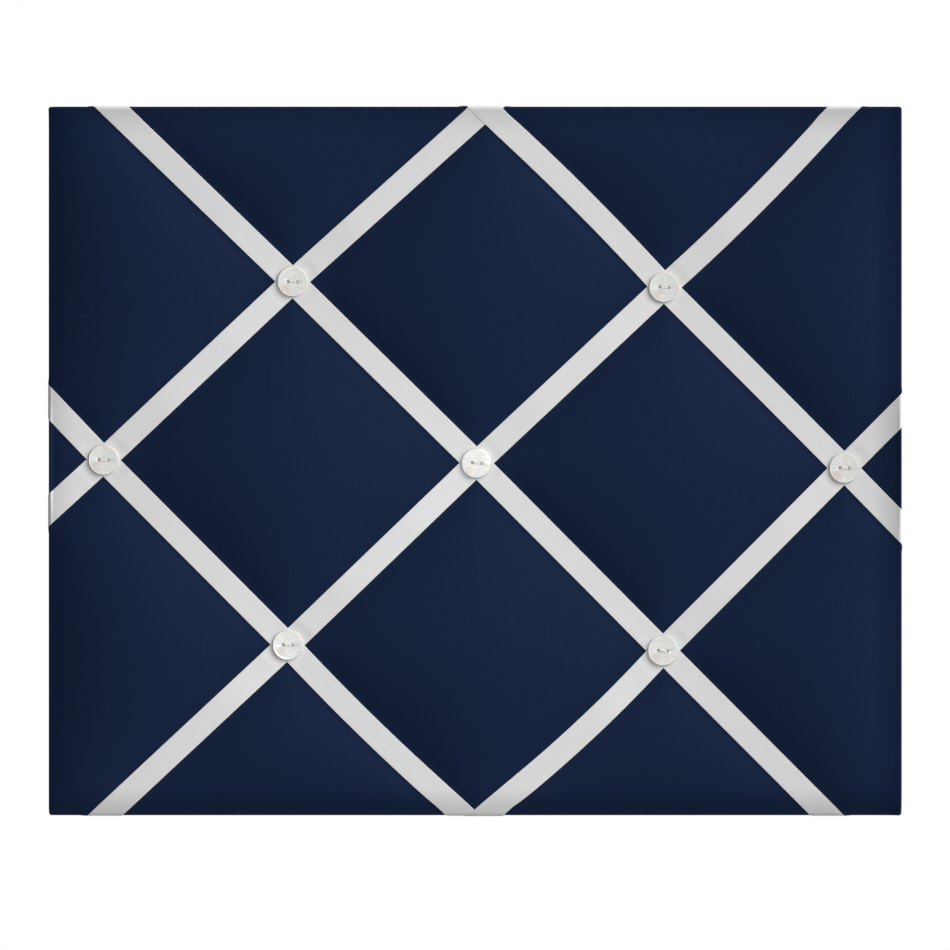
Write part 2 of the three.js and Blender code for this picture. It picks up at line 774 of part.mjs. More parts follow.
function coverGeometry() {
  const mesh = { points: [], triangles: [] };
  const inside = -coverThickness;
  joinRings(mesh, [
    addFront(mesh, 0, true),
    ...arrisRows.map((step) => addRing(mesh, arrisRow(step, 0))),
    addRing(mesh, backCorner(0)),
    addRing(mesh, onHem(hemWidth, 0)),
    addRing(mesh, onHem(hemWidth, inside)),
    addRing(mesh, backCorner(inside)),
    ...[...arrisRows].reverse().map((step) => addRing(mesh, arrisRow(step, inside))),
    addFront(mesh, inside, false),
  ]);
  return meshFrom(mesh.points, mesh.triangles);
}

function waddingGeometry() {
  const mesh = { points: [], triangles: [] };
  const inside = -coverThickness - seatGap;
  const backRing = addRing(mesh, { inset: -inside, depth: padBack });
  joinRings(mesh, [
    addFront(mesh, inside, true),
    ...arrisRows.map((step) => addRing(mesh, arrisRow(step, inside))),
    backRing,
  ]);
  for (let i = 1; i + 1 < backRing.length; i += 1) {
    mesh.triangles.push([backRing[0].index, backRing[i + 1].index, backRing[i].index]);
  }
  return meshFrom(mesh.points, mesh.triangles);
}

// Ribbons: flat bands that follow the front, wrap over the edge and lie under the backing
const sideLength = hemOuter - coverFloor - arrisRadius;

function tailPlace(end, inset) {
  const onArris = (end.slope * arrisRadius * Math.PI) / 2;
  const onSide = Math.sign(end.slope) * sideSlant * sideLength;
  return end.borderPlace + onArris + onSide + Math.sign(end.slope) * end.spread * inset;
}

function wrapRows(end, borderRow) {
  const { lift, leftSign } = borderRow;
  const halfAt = (slope) => ribbonHalf * Math.hypot(1, slope);
  const rows = arrisRows.map((step) => ({
    place: end.borderPlace + (end.slope * arrisRadius * Math.PI * step) / 2 / arrisSteps,
    half: halfAt(end.slope),
    at: (offset) => arrisRow(step, offset + lift),
  }));
  rows.push({
    place: tailPlace(end, 0),
    half: halfAt(sideSlant),
    at: (offset) => backCorner(offset + lift),
  });
  for (const [inset, tailLift] of [[tailEase, lift], [2 * tailEase, 0], [tailLength, 0]]) {
    rows.push({
      place: tailPlace(end, inset),
      half: halfAt(end.spread),
      at: (offset) => onHem(inset, offset + tailLift),
    });
  }
  const corner = (row, sign, offset) => {
    const { inset, depth } = row.at(offset);
    const point = onEdge(end.edge, row.place + sign * row.half, inset);
    return [point.x, depth, point.y];
  };
  return rows.map((row) => ['left', 'right'].flatMap((side) => {
    const sign = side === 'left' ? leftSign : -leftSign;
    return [corner(row, sign, seatGap), corner(row, sign, ribbonTop)];
  }));
}

function ribbonGeometry(ribbon) {
  const frontRows = ribbon.stretches.flat().map(({ left, right, lift }) => [
    onFront(left, seatGap + lift),
    onFront(left, ribbonTop + lift),
    onFront(right, seatGap + lift),
    onFront(right, ribbonTop + lift),
  ]);
  const rows = [
    ...wrapRows(ribbon.start, ribbon.startRow).reverse(),
    ...frontRows,
    ...wrapRows(ribbon.finish, ribbon.finishRow),
  ];
  const triangles = [[0, 1, 3], [0, 3, 2]];
  for (let i = 0; i + 1 < rows.length; i += 1) {
    const [near, far] = [4 * i, 4 * i + 4];
    const [leftUnder, leftTop, rightUnder, rightTop] = [0, 1, 2, 3];
    const quads = [
      [leftUnder, rightUnder],
      [rightUnder, rightTop],
      [rightTop, leftTop],
      [leftTop, leftUnder],
    ];
    for (const [a, b] of quads) {
      const fromLeft = a === leftUnder || a === rightUnder;
      if (fromLeft) triangles.push([near + a, near + b, far + b], [near + a, far + b, far + a]);
      else triangles.push([near + b, far + b, far + a], [near + b, far + a, near + a]);
    }
  }
  const last = 4 * (rows.length - 1);
  triangles.push([last, last + 3, last + 1], [last, last + 2, last + 3]);
  return meshFrom(rows.flat(), triangles);
}

// Staples: one U of flat wire, used for the ribbon tails, the hem and the thread ends
function stapleGeometry() {
  const [outer, inner] = [stapleCrown / 2, stapleCrown / 2 - wireThickness];
  const outline = new THREE.Shape();
  outline.moveTo(-outer, -stapleLeg);
  outline.lineTo(-inner, -stapleLeg);
  outline.lineTo(-inner, 0);
  outline.lineTo(inner, 0);
  outline.lineTo(inner, -stapleLeg);
  outline.lineTo(outer, -stapleLeg);
  outline.lineTo(outer, wireThickness);
  outline.lineTo(-outer, wireThickness);
  outline.closePath();
  const wire = new THREE.ExtrudeGeometry(outline, { depth: wireWidth, bevelEnabled: false });
  return closedMesh(wire.translate(0, 0, -wireWidth / 2));
}

const staples = [];

function driveStaple(name, into, x, z, crownDepth, turn) {
  staples.push({ name, into, x, z, crownDepth, turn });
}

function legHoles(staple) {
  const length = stapleLeg + seatGap;
  return [-1, 1].map((side) => new THREE.BoxGeometry(
    wireThickness + 2 * seatGap,
    length,
    wireWidth + 2 * seatGap,
  )
    .translate((side * (stapleCrown - wireThickness)) / 2, -length / 2, 0)
    .rotateY(staple.turn)
    .translate(staple.x, staple.crownDepth, staple.z));
}

const turnOfEdge = (edgeName) => (edges[edgeName].along.x ? 0 : Math.PI / 2);

for (const ribbon of Object.values(ribbons)) {
  for (const end of [ribbon.start, ribbon.finish]) {
    const point = onEdge(end.edge, tailPlace(end, tailStapleSet), tailStapleSet);
    const name = ribbon.name.replace('ribbon', 'ribbon_staple');
    const depth = hemOuter + ribbonTop + seatGap;
    driveStaple(`${name}_${end.edge}`, ribbon.name, point.x, point.y, depth, turnOfEdge(end.edge));
  }
}

for (const [edgeName, edge] of Object.entries(edges)) {
  const halfLength = edge.along.x ? halfWidth : halfHeight;
  for (const [end, side] of Object.entries({ first: -1, second: 1 })) {
    const point = onEdge(edgeName, side * (halfLength - hemStapleInset), hemStapleSet);
    const name = `hem_staple_${edgeName}_${end}`;
    driveStaple(name, 'cover_fabric', point.x, point.y, hemOuter + seatGap, turnOfEdge(edgeName));
  }
}

const buttonTurn = THREE.MathUtils.degToRad(holeTurn);
const threadRadius = threadDiameter / 2;
const threadTop = coreBack + seatGap + threadDiameter;
for (const [name, { x, y }] of Object.entries(buttonAt)) {
  const place = new THREE.Vector3(0, 0, -threadStapleDrop)
    .applyAxisAngle(new THREE.Vector3(0, 1, 0), buttonTurn);
  const depth = threadTop + seatGap;
  driveStaple(`thread_staple_${name}`, 'core_board', x + place.x, y + place.z, depth, buttonTurn);
}

// Buttons: a dished disc with a raised rim and two holes, sewn through every layer
const buttonBack = coverFloor + tuftDepth - ribbonTop - crossingLift - seatGap;
const dishFace = buttonBack - buttonThickness + buttonDish;
const needleRadius = threadRadius + seatGap;

function buttonGeometry() {
  const rimInner = buttonRadius - buttonRimWidth;
  const profile = [
    [0, 0],
    [rimInner, 0],
    [buttonRadius - buttonBackRise / 2, buttonBackRise],
    [buttonRadius, buttonThickness / 2],
    [buttonRadius - buttonBackRise / 2, buttonThickness - buttonBackRise],
    [buttonRadius - buttonRimWidth / 2, buttonThickness],
    [rimInner, buttonThickness - buttonDish / 2],
    [rimInner - buttonRimWidth / 2, buttonThickness - buttonDish],
    [0, buttonThickness - buttonDish],
  ].map(([radius, height]) => new THREE.Vector2(radius, buttonBack - height));
  const disc = new THREE.LatheGeometry(profile, buttonFacets);
  const holes = [-1, 1].map((side) => barAlongY(
    (side * holeSpacing) / 2, 0, needleRadius,
    buttonBack + cutMargin, buttonBack - buttonThickness - cutMargin, holeFacets));
  return cutAway(disc, holes);
}

function threadGeometry() {
  const half = holeSpacing / 2;
  const tailDepth = coreBack + seatGap + threadRadius;
  const bridgeDepth = dishFace - seatGap - threadRadius;
  const roundOff = threadBend * (1 - Math.SQRT1_2);
  const strand = [
    [half, tailDepth, -threadTail],
    [half, tailDepth, -threadBend],
    [half, tailDepth - roundOff, -roundOff],
    [half, tailDepth - threadBend, 0],
    [half, bridgeDepth + threadBend, 0],
    [half - roundOff, bridgeDepth + roundOff, 0],
    [half - threadBend, bridgeDepth, 0],
  ];
  const mirrored = strand.map(([x, y, z]) => [-x, y, z]).reverse();
  return wireAlong([...strand, ...mirrored], threadRadius, threadFacets);
}

// Holes that the thread needs: through the cloth and wadding, and through the core
function needleHoles(buttonName) {
  const { x, y } = buttonAt[buttonName];
  return [-1, 1].map((side) => barAlongY(
    (side * holeSpacing) / 2, 0, needleRadius * Math.SQRT2, coreFront, buttonBack, needleFacets)
    .rotateY(buttonTurn)
    .translate(x, 0, y));
}

// Flat plates with rounded corners, lying in the plane of the board
function roundedOutline(width, height, radius) {
  const [x, z] = [width / 2 - radius, height / 2 - radius];
  const outline = new THREE.Shape();
  outline.absarc(-x, -z, radius, Math.PI, 1.5 * Math.PI);
  outline.absarc(x, -z, radius, 1.5 * Math.PI, 2 * Math.PI);
  outline.absarc(x, z, radius, 0, 0.5 * Math.PI);
  outline.absarc(-x, z, radius, 0.5 * Math.PI, Math.PI);
  outline.closePath();
  return outline;
}

function plate(outline, thickness, rearDepth, curveSegments) {
  const slab = new THREE.ExtrudeGeometry(outline, {
    depth: thickness, bevelEnabled: false, curveSegments,
  });
  return closedMesh(slab.rotateX(Math.PI / 2).translate(0, rearDepth, 0));
}

// Hangers: a strap folded round the bar of a ring and screwed to the back
const barrelBore = ringWire / 2 + seatGap;
const barrelRadius = barrelBore + strapThickness;
const barDepth = seatGap + barrelRadius;
const barHeight = halfHeight - hangerDrop;
const hangerOffset = halfWidth - hangerInset;
const strapScrewSet = strapLength - strapScrewInset;
const tongueTop = seatGap + 2 * strapThickness;
const screwBore = screwDiameter / 2 + seatGap;
const hangerSides = { left: -1, right: 1 };

function strapGeometry() {
  const profile = new THREE.Shape();
  const closing = Math.PI - Math.asin((tongueTop - barDepth) / barrelRadius);
  profile.moveTo(-strapLength, seatGap);
  profile.lineTo(0, seatGap);
  profile.absarc(0, barDepth, barrelRadius, -Math.PI / 2, closing);
  profile.lineTo(-strapLength, tongueTop);
  profile.closePath();
  const bore = new THREE.Path();
  bore.absarc(0, barDepth, barrelBore, 0, 2 * Math.PI);
  profile.holes.push(bore);
  const strip = new THREE.ExtrudeGeometry(profile, {
    depth: strapWidth, bevelEnabled: false, curveSegments: strapFacets,
  });
  const turn = new THREE.Matrix4().makeBasis(
    new THREE.Vector3(0, 0, 1),
    new THREE.Vector3(0, 1, 0),
    new THREE.Vector3(-1, 0, 0),
  );
  strip.applyMatrix4(turn).translate(strapWidth / 2, 0, 0);
  const roundEnd = new THREE.Shape();
  roundEnd.moveTo(strapWidth, barrelRadius * 2);
  roundEnd.lineTo(-strapWidth, barrelRadius * 2);
  roundEnd.lineTo(-strapWidth / 2, strapWidth / 2 - strapLength);
  roundEnd.absarc(0, strapWidth / 2 - strapLength, strapWidth / 2, Math.PI, 2 * Math.PI);
  roundEnd.closePath();
  const shaped = plate(roundEnd, 4 * barrelRadius, 3 * barrelRadius, strapFacets);
  const hole = barAlongY(0, -strapScrewSet, screwBore, 0, 2 * tongueTop, boreFacets);
  const result = solidFrom(strip).intersect(solidFrom(shaped)).subtract(solidFrom(hole)).getMesh();
  const strap = new THREE.BufferGeometry();
  strap.setAttribute('position', new THREE.Float32BufferAttribute(result.vertProperties, 3));
  strap.setIndex([...result.triVerts]);
  return strap;
}

function ringGeometry() {
  const rise = ringCorner + ringStraight;
  const side = [[ringSplit / 2, 0, 0]];
  for (let step = 0; step <= 2; step += 1) {
    const angle = (step / 2) * (Math.PI / 2) - Math.PI / 2;
    const x = ringHalfWidth - ringCorner + ringCorner * Math.cos(angle);
    side.push([x, 0, ringCorner + ringCorner * Math.sin(angle)]);
  }
  const arcSteps = 6;
  for (let step = 0; step < arcSteps; step += 1) {
    const angle = (step / arcSteps) * (Math.PI / 2);
    side.push([ringHalfWidth * Math.cos(angle), 0, rise + ringHalfWidth * Math.sin(angle)]);
  }
  const mirrored = side.map(([x, y, z]) => [-x, y, z]).reverse();
  return wireAlong([...side, [0, 0, rise + ringHalfWidth], ...mirrored], ringWire / 2, ringFacets);
}

const ringReach = ringCorner + ringStraight + ringHalfWidth;
const ringLean = Math.asin((barDepth - seatGap - ringWire / 2) / ringReach);

function screwGeometry() {
  const [tip, underHead] = [coreBack - screwDepth, tongueTop + seatGap];
  const radius = screwDiameter / 2;
  const profile = [
    [0, tip],
    [radius, tip + screwDiameter],
    [radius, underHead],
    [screwHeadRadius, underHead],
    [screwHeadRadius, underHead + screwHeadHeight / 2],
    [screwHeadRadius / 2, underHead + screwHeadHeight],
    [0, underHead + screwHeadHeight],
  ].map(([r, depth]) => new THREE.Vector2(r, depth));
  const cross = [0, Math.PI / 2].map((turn) => new THREE.BoxGeometry(
    screwRecess, 2 * screwRecess, screwHeadRadius)
    .rotateY(turn)
    .translate(0, underHead + screwHeadHeight, 0));
  return cutAway(new THREE.LatheGeometry(profile, screwFacets), cross);
}

// The core, drilled for the thread, the staples and the hanger screws
function coreGeometry() {
  const inset = coverThickness + seatGap;
  const outline = roundedOutline(
    boardWidth - 2 * inset, boardHeight - 2 * inset, Math.max(cornerRadius - inset, smallCorner));
  const slab = plate(outline, coreThickness, coreBack, cornerSteps);
  const bores = Object.values(buttonAt).map(({ x, y }) =>
    barAlongY(x, y, threadBore / 2, coreBack + cutMargin, coreFront - cutMargin, boreFacets));
  const pilots = Object.values(hangerSides).map((side) => barAlongY(
    side * hangerOffset, barHeight - strapScrewSet, screwBore,
    coreBack + cutMargin, coreBack - screwDepth - seatGap, boreFacets));
  return cutAway(slab, [...bores, ...pilots, ...staples.flatMap(legHoles)]);
}

// The backing sheet. Its broad lower face is one region and the part that carries the hangers
// another, so that the screw holes leave the lower face whole.
function backingGeometry() {
  const seam = barHeight - strapLength - strapWidth;
  const [width, height] = [halfWidth - backingInset, halfHeight - backingInset];
  const [x, z] = [width - backingCorner, height - backingCorner];
  const lower = new THREE.Shape();
  lower.moveTo(width, seam);
  lower.lineTo(-width, seam);
  lower.absarc(-x, -z, backingCorner, Math.PI, 1.5 * Math.PI);
  lower.absarc(x, -z, backingCorner, 1.5 * Math.PI, 2 * Math.PI);
  lower.closePath();
  const upper = new THREE.Shape();
  upper.moveTo(-width, seam);
  upper.lineTo(width, seam);
  upper.absarc(x, z, backingCorner, 0, 0.5 * Math.PI);
  upper.absarc(-x, z, backingCorner, 0.5 * Math.PI, Math.PI);
  upper.closePath();
  for (const side of Object.values(hangerSides)) {
    const hole = new THREE.Path();
    hole.absarc(side * hangerOffset, barHeight - strapScrewSet, screwBore, 0, 2 * Math.PI);
    upper.holes.push(hole);
  }
  const halves = [lower, upper].map((outline) => plate(outline, backingThickness, 0, sheetCornerFacets));
  const sheet = mergeVertices(mergeGeometries(halves), sameSpot);
  const onSeam = (corner) => Math.abs(sheet.attributes.position.getZ(corner) - seam) < sameSpot;
  const kept = [];
  for (let i = 0; i < sheet.index.count; i += 3) {
    const corners = [0, 1, 2].map((step) => sheet.index.getX(i + step));
    if (!corners.every(onSeam)) kept.push(...corners);
  }
  sheet.setIndex(kept);
  return sheet;
}

// Assembly
const staplesInto = (name) => staples.filter((staple) => staple.into === name).flatMap(legHoles);

addPiece('core_board', coreGeometry(), fibreboard);
addPiece('wadding_pad', cutAway(waddingGeometry(), buttonNames.flatMap(needleHoles)),
  polyesterWadding);
addPiece('cover_fabric', cutAway(coverGeometry(), [
  ...buttonNames.flatMap(needleHoles),
  ...staples.flatMap(legHoles),
]), navyCotton);
for (const ribbon of Object.values(ribbons)) {
  const holes = [...ribbon.plan.buttons.flatMap(needleHoles), ...staplesInto(ribbon.name)];
  addPiece(ribbon.name, cutAway(ribbonGeometry(ribbon), holes), whiteRibbon);
}
for (const [name, { x, y }] of Object.entries(buttonAt)) {
  addPiece(`button_${name}`, buttonGeometry(), pearlShell, [x, 0, y], [0, buttonTurn, 0]);
  addPiece(`button_thread_${name}`, threadGeometry(), whiteThread, [x, 0, y], [0, buttonTurn, 0]);
}
for (const { name, x, z, crownDepth, turn } of staples) {
  addPiece(name, stapleGeometry(), zincSteel, [x, crownDepth, z], [0, turn, 0]);
}
addPiece('backing_sheet', backingGeometry(), blackFelt);
for (const [name, side] of Object.entries(hangerSides)) {
  const x = side * hangerOffset;
  addPiece(`hanger_strap_${name}`, strapGeometry(), zincSteel, [x, 0, barHeight]);
  addPiece(`hanger_ring_${name}`, ringGeometry(), zincSteel, [x, barDepth, barHeight],
    [ringLean, 0, 0]);
  addPiece(`hanger_screw_${name}`, screwGeometry(), zincSteel, [x, 0, barHeight - strapScrewSet]);
}

export default board;
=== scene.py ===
import math

import bmesh
import bpy
import numpy as np
from mathutils import Matrix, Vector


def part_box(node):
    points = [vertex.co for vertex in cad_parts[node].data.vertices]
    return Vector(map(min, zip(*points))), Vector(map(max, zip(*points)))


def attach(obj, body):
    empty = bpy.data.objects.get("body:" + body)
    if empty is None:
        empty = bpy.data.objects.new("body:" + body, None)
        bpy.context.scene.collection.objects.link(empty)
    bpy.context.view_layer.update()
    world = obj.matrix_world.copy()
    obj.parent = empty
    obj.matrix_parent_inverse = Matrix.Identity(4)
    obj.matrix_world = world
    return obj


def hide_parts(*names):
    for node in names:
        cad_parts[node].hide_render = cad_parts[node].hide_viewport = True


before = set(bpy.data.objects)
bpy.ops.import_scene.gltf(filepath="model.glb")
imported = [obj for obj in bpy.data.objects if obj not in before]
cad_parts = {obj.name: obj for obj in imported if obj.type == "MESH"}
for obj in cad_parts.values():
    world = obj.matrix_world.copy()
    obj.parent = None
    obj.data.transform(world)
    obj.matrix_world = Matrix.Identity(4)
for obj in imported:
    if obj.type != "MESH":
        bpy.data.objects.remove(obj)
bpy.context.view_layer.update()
mm = 0.001
scene = bpy.context.scene
scene.view_settings.view_transform = "Standard"


# small tools

def linear(hexColour):
    parts = [int(hexColour[i:i + 2], 16) / 255 for i in (1, 3, 5)]
    return [c / 12.92 if c <= 0.04045 else ((c + 0.055) / 1.055) ** 2.4 for c in parts] + [1.0]


def setInputs(tree, node, values):
    for name, value in values.items():
        if isinstance(value, bpy.types.NodeSocket):
            tree.links.new(value, node.inputs[name])
        else:
            node.inputs[name].default_value = value


def addNode(tree, kind, values=None, stops=(), **settings):
    node = tree.nodes.new(kind)
    for name, value in settings.items():
        setattr(node, name, value)
    setInputs(tree, node, values or {})
    for extra in stops[2:]:  # a new ramp has two stops
        node.color_ramp.elements.new(0.5)
    for order, (place, colour) in enumerate(stops):
        element = node.color_ramp.elements[order]
        element.position, element.color = place, linear(colour)
    return node


def startMaterial(name, **values):
    material = bpy.data.materials.new(name)
    material.use_nodes = True
    shader = material.node_tree.nodes["Principled BSDF"]
    setInputs(material.node_tree, shader, {socket.replace("_", " "): v for socket, v in values.items()})
    return material, material.node_tree, shader


def mottled(name, grain, tones, texture, **values):  # a colour that wanders between two tones
    material, tree, shader = startMaterial(name, **values)
    place = addNode(tree, "ShaderNodeTexCoord")
    noise = addNode(tree, "ShaderNodeTexNoise", {"Vector": place.outputs["Object"], "Scale": 1 / grain,
                    **texture})
    tone = addNode(tree, "ShaderNodeValToRGB", {"Fac": noise.outputs["Fac"]}, list(zip((0.3, 0.7), tones)))
    setInputs(tree, shader, {"Base Color": tone.outputs["Color"]})
    return material, tree, shader, noise


def makePiece(name, points, faces, material, uv=None):
    mesh = bpy.data.meshes.new(name)
    mesh.from_pydata([tuple(p) for p in points], [], faces)
    if uv is not None:
        layer = mesh.uv_layers.new(name="plan")
        corner = np.zeros(len(mesh.loops), np.int32)
        mesh.loops.foreach_get("vertex_index", corner)
        layer.data.foreach_set("uv", np.asarray(uv, np.float32)[corner].ravel())
    mesh.polygons.foreach_set("use_smooth", [True] * len(mesh.polygons))
    if material:
        mesh.materials.append(material)
    piece = bpy.data.objects.new(name, mesh)
    scene.collection.objects.link(piece)
    return piece


def tidyMesh(piece, sharpAngle=None, recalculate=True):
    bm = bmesh.new()
    bm.from_mesh(piece.data)
    bmesh.ops.remove_doubles(bm, verts=bm.verts, dist=1e-6)
    bmesh.ops.dissolve_degenerate(bm, dist=1e-7, edges=bm.edges)
    if recalculate:
        bmesh.ops.recalc_face_normals(bm, faces=bm.faces)
    if sharpAngle is not None:
        for edge in bm.edges:
            edge.smooth = len(edge.link_faces) == 2 and edge.calc_face_angle(0) < math.radians(sharpAngle)
    bm.to_mesh(piece.data)
    bm.free()
    return piece


def bakeModifiers(piece):
    graph = bpy.context.evaluated_depsgraph_get()
    plain = bpy.data.meshes.new_from_object(piece.evaluated_get(graph), depsgraph=graph)
    old = piece.data
    piece.modifiers.clear()
    piece.data = plain
    plain.name = piece.name
    if old.users == 0:
        bpy.data.meshes.remove(old)
    return piece


def dropPiece(piece):
    mesh = piece.data
    bpy.data.objects.remove(piece)
    bpy.data.meshes.remove(mesh)


def soften(piece, width, segments, angle):  # rounds the edges sharper than the angle
    soft = piece.modifiers.new("soft", "BEVEL")
    soft.width, soft.segments, soft.angle_limit = width, segments, math.radians(angle)


def middleOf(node):  # x and z of the middle of a CAD node
    low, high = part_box(node)
    return (low.x + high.x) / 2, (low.z + high.z) / 2


def easeStep(share):
    return share * share * (3 - 2 * share)


def fitPiece(piece, body, slot, *nodes):
    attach(piece, body)
    if nodes:
        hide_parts(*nodes)
    print("fitted", piece.name, "on", body)
    return piece


# camera, floor and light

studio = {
    "cameraBack": 3.917,      # m in front of the wall face
    "cameraHeight": -0.0068,  # the board hangs a little above the middle of the picture
    "lens": 300,
    "floorDrop": 1.1,
    "floorHalf": 0.6,
    "floorRear": 0.5,
    "key": {"place": (4.8, -2.4, 3.4), "size": 6.0, "power": 730},
    "front": {"place": (-0.05, -0.47, -0.04), "size": 0.08, "power": 0.5},   # close: lights the middle more
    "rear": {"place": (0.9, 1.6, 1.0), "size": 1.4, "power": 24},
    "ambient": 0.1,
}


def buildStudio():
    camera = bpy.data.objects.new("camera", bpy.data.cameras.new("camera"))
    camera.data.lens = studio["lens"]
    camera.location = (0, -studio["cameraBack"], studio["cameraHeight"])
    camera.rotation_euler = (math.pi / 2, 0, 0)
    scene.collection.objects.link(camera)
    scene.camera = camera
    for name in ("key", "front", "rear"):
        lamp = bpy.data.lights.new(name, "AREA")
        lamp.energy, lamp.size = studio[name]["power"], studio[name]["size"]
        holder = bpy.data.objects.new(name, lamp)
        holder.location = studio[name]["place"]
        holder.rotation_euler = (-holder.location).to_track_quat("-Z", "Y").to_euler()
        scene.collection.objects.link(holder)
    world = bpy.data.worlds.new("studio")
    scene.world = world
    world.use_nodes = True
    tree = world.node_tree
    tree.nodes.clear()
    ray = addNode(tree, "ShaderNodeLightPath")
    shiny = addNode(tree, "ShaderNodeMath", {0: ray.outputs["Is Glossy Ray"],
                    1: ray.outputs["Is Transmission Ray"]}, operation="MAXIMUM")
    seen = addNode(tree, "ShaderNodeMath", {0: ray.outputs["Is Camera Ray"],
                   1: shiny.outputs[0]}, operation="MAXIMUM")
    level = addNode(tree, "ShaderNodeMapRange", {"Value": seen.outputs[0],
                    "To Min": studio["ambient"], "To Max": 1.0})
    glow = addNode(tree, "ShaderNodeBackground", {"Color": (1, 1, 1, 1), "Strength": level.outputs[0]})
    addNode(tree, "ShaderNodeOutputWorld", {"Surface": glow.outputs[0]})
    paleFloor = mottled("pale_floor", 25 * mm, ("#eeeeee", "#f4f4f4"), {}, Roughness=0.9)[0]
    low, half, rear = -studio["floorDrop"], studio["floorHalf"], studio["floorRear"]
    corners = [(-half, -half, low), (half, -half, low), (half, rear, low), (-half, rear, low)]
    floor = makePiece("floor", corners, [(0, 1, 2, 3)], paleFloor)


buildStudio()
print("studio ready")


# lattice: where the buttons and ribbons lie, from the CAD nodes and the ribbon plan

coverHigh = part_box("cover_fabric")[1]
halfWidth, halfHeight = coverHigh.x, coverHigh.z
hemFace = coverHigh.y  # outer face of the turned hem

boardForm = {
    "padDepth": 6.4 * mm,   # from the core to the face of the cover, under a ribbon
    "arris": 1.4 * mm,      # rounding of the front edge
    "turnBack": 1.2 * mm,   # rounding at the rear edge
    "hem": 20 * mm,
    "loft": 5.5 * mm,       # how far a pocket swells, before the cloth settles
    "tuft": 1.2 * mm,       # how far a button draws the pad in, over a wide dip
    "dimple": 0.4 * mm,     # and close round its rim
    "swellReach": 26 * mm,
    "edgeReach": 20 * mm,
    "tuftReach": 38 * mm,
    "tuftFlat": 8 * mm,     # flat under a button
    "dimpleReach": 6 * mm,
    "edgeFall": {"left": 1.1 * mm, "bottom": 2.6 * mm,     # how far the pad thins towards each edge,
                 "right": -2.2 * mm, "top": -2.0 * mm},    # or is bunched up there
    "fallReach": 12 * mm,
    "fallEase": 20 * mm,
}
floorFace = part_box("wadding_pad")[1].y - boardForm["padDepth"]
arris, turnBack = boardForm["arris"], boardForm["turnBack"]
flatX, flatZ = halfWidth - arris, halfHeight - arris     # the border of the flat front
hair = 1e-9  # two places closer than this are one
arrisArc, backArc = arris * math.pi / 2, turnBack * math.pi / 2
sideRun = hemFace - floorFace - arris - turnBack
wrapRun = arrisArc + sideRun + backArc

buttonNames = ["left", "upper_left", "lower_left", "centre", "upper_right", "lower_right", "right"]
buttonAt = {name: np.array(middleOf("button_" + name)) for name in buttonNames}

ribbonForm = {
    "width": 11.8 * mm,
    "thickness": 0.14 * mm,
    "clear": 0.15 * mm,      # above the cover
    "lift": 0.16 * mm,       # over another ribbon
    "planInset": 5 * mm,     # the plan's places are this far inside the outline
    "turnAt": 4 * mm,        # past the border, where it turns down the side
    "sideSlant": 0.5,
    "squareRun": 14 * mm,    # over which its rows turn to lie along the edge
    "tail": 38 * mm,
    "rowStep": 0.8 * mm,
    "easing": 10,            # passes that round the bends of its run
    "crossRun": 6.6 * mm,    # half the run that it stays lifted at a button
    "edgeCrossRun": 9 * mm,  # and at a crossing on the edge
    "crossEase": 5 * mm,
}
# each end: edge, place along it in mm, slope towards it, sideways spread of the tail, bow in mm
ribbonPlan = {
    "ribbon_lower_left": (("left", 23.83, 1.051, 0, 0), ["left", "lower_left"],
                          ("bottom", -11.05, 1.028, 0.8, -1.4)),
    "ribbon_falling": (("top", -173.76, -1.035, 0, 0), ["upper_left", "centre", "lower_right"],
                       ("bottom", 168.46, 0.996, 0, 0)),
    "ribbon_upper_right": (("top", 9.41, -0.999, 0.8, 1.4), ["upper_right", "right"],
                           ("right", -27.29, -1.034, 0, 0)),
    "ribbon_upper_left": (("left", -19.61, -0.914, 0, 0), ["left", "upper_left"],
                          ("top", 0.28, 1.111, 0.8, 0)),
    "ribbon_rising": (("bottom", -176.93, -1.072, 0, 0), ["lower_left", "centre", "upper_right"],
                      ("top", 176.98, 1.0, 0, -1.7)),
    "ribbon_lower_right": (("bottom", 10.73, -1.074, 0.8, -2.3), ["lower_right", "right"],
                           ("right", 20.0, 1.013, 0, 0)),
}
ribbonOnTop = {"left": "ribbon_upper_left", "upper_left": "ribbon_upper_left",
               "lower_left": "ribbon_lower_left", "centre": "ribbon_rising",
               "upper_right": "ribbon_upper_right", "lower_right": "ribbon_lower_right",
               "right": "ribbon_lower_right"}
# at the middle of the top and bottom edges, the upper ribbon and the one under it
edgeOnTop = {"ribbon_upper_right": "ribbon_upper_left", "ribbon_lower_right": "ribbon_lower_left"}
edgeAxes = {"top": ((0, 1), (1, 0), halfHeight), "bottom": ((0, -1), (1, 0), halfHeight),
            "right": ((1, 0), (0, 1), halfWidth), "left": ((-1, 0), (0, 1), halfWidth)}


def pastEdge(edge, place, past):  # point of the flat plan, past the border
    out, along, reach = (np.array(v) for v in edgeAxes[edge])
    return out * (reach - arris + past) + along * place


def tailPoints(end):  # from the border to the end of the tail
    edge, place, slope, spread = end[:4]
    place, side = place * mm, math.copysign(1, slope)
    start, turn = arris - ribbonForm["planInset"], ribbonForm["turnAt"]
    corner = place + slope * (turn - start)
    behind = corner + side * ribbonForm["sideSlant"] * (wrapRun - turn)
    return [pastEdge(edge, place, start), pastEdge(edge, corner, turn), pastEdge(edge, behind, wrapRun),
            pastEdge(edge, behind + side * spread * ribbonForm["tail"], wrapRun + ribbonForm["tail"])]


def sampleLine(corners, step):
    corners = np.array(corners)
    spans = np.linalg.norm(np.diff(corners, axis=0), axis=1)
    run = np.concatenate([[0], np.cumsum(spans)])
    count = max(int(round(run[-1] / step)), 2)
    at = np.linspace(0, run[-1], count + 1)
    return np.stack([np.interp(at, run, corners[:, i]) for i in range(corners.shape[1])], axis=1)


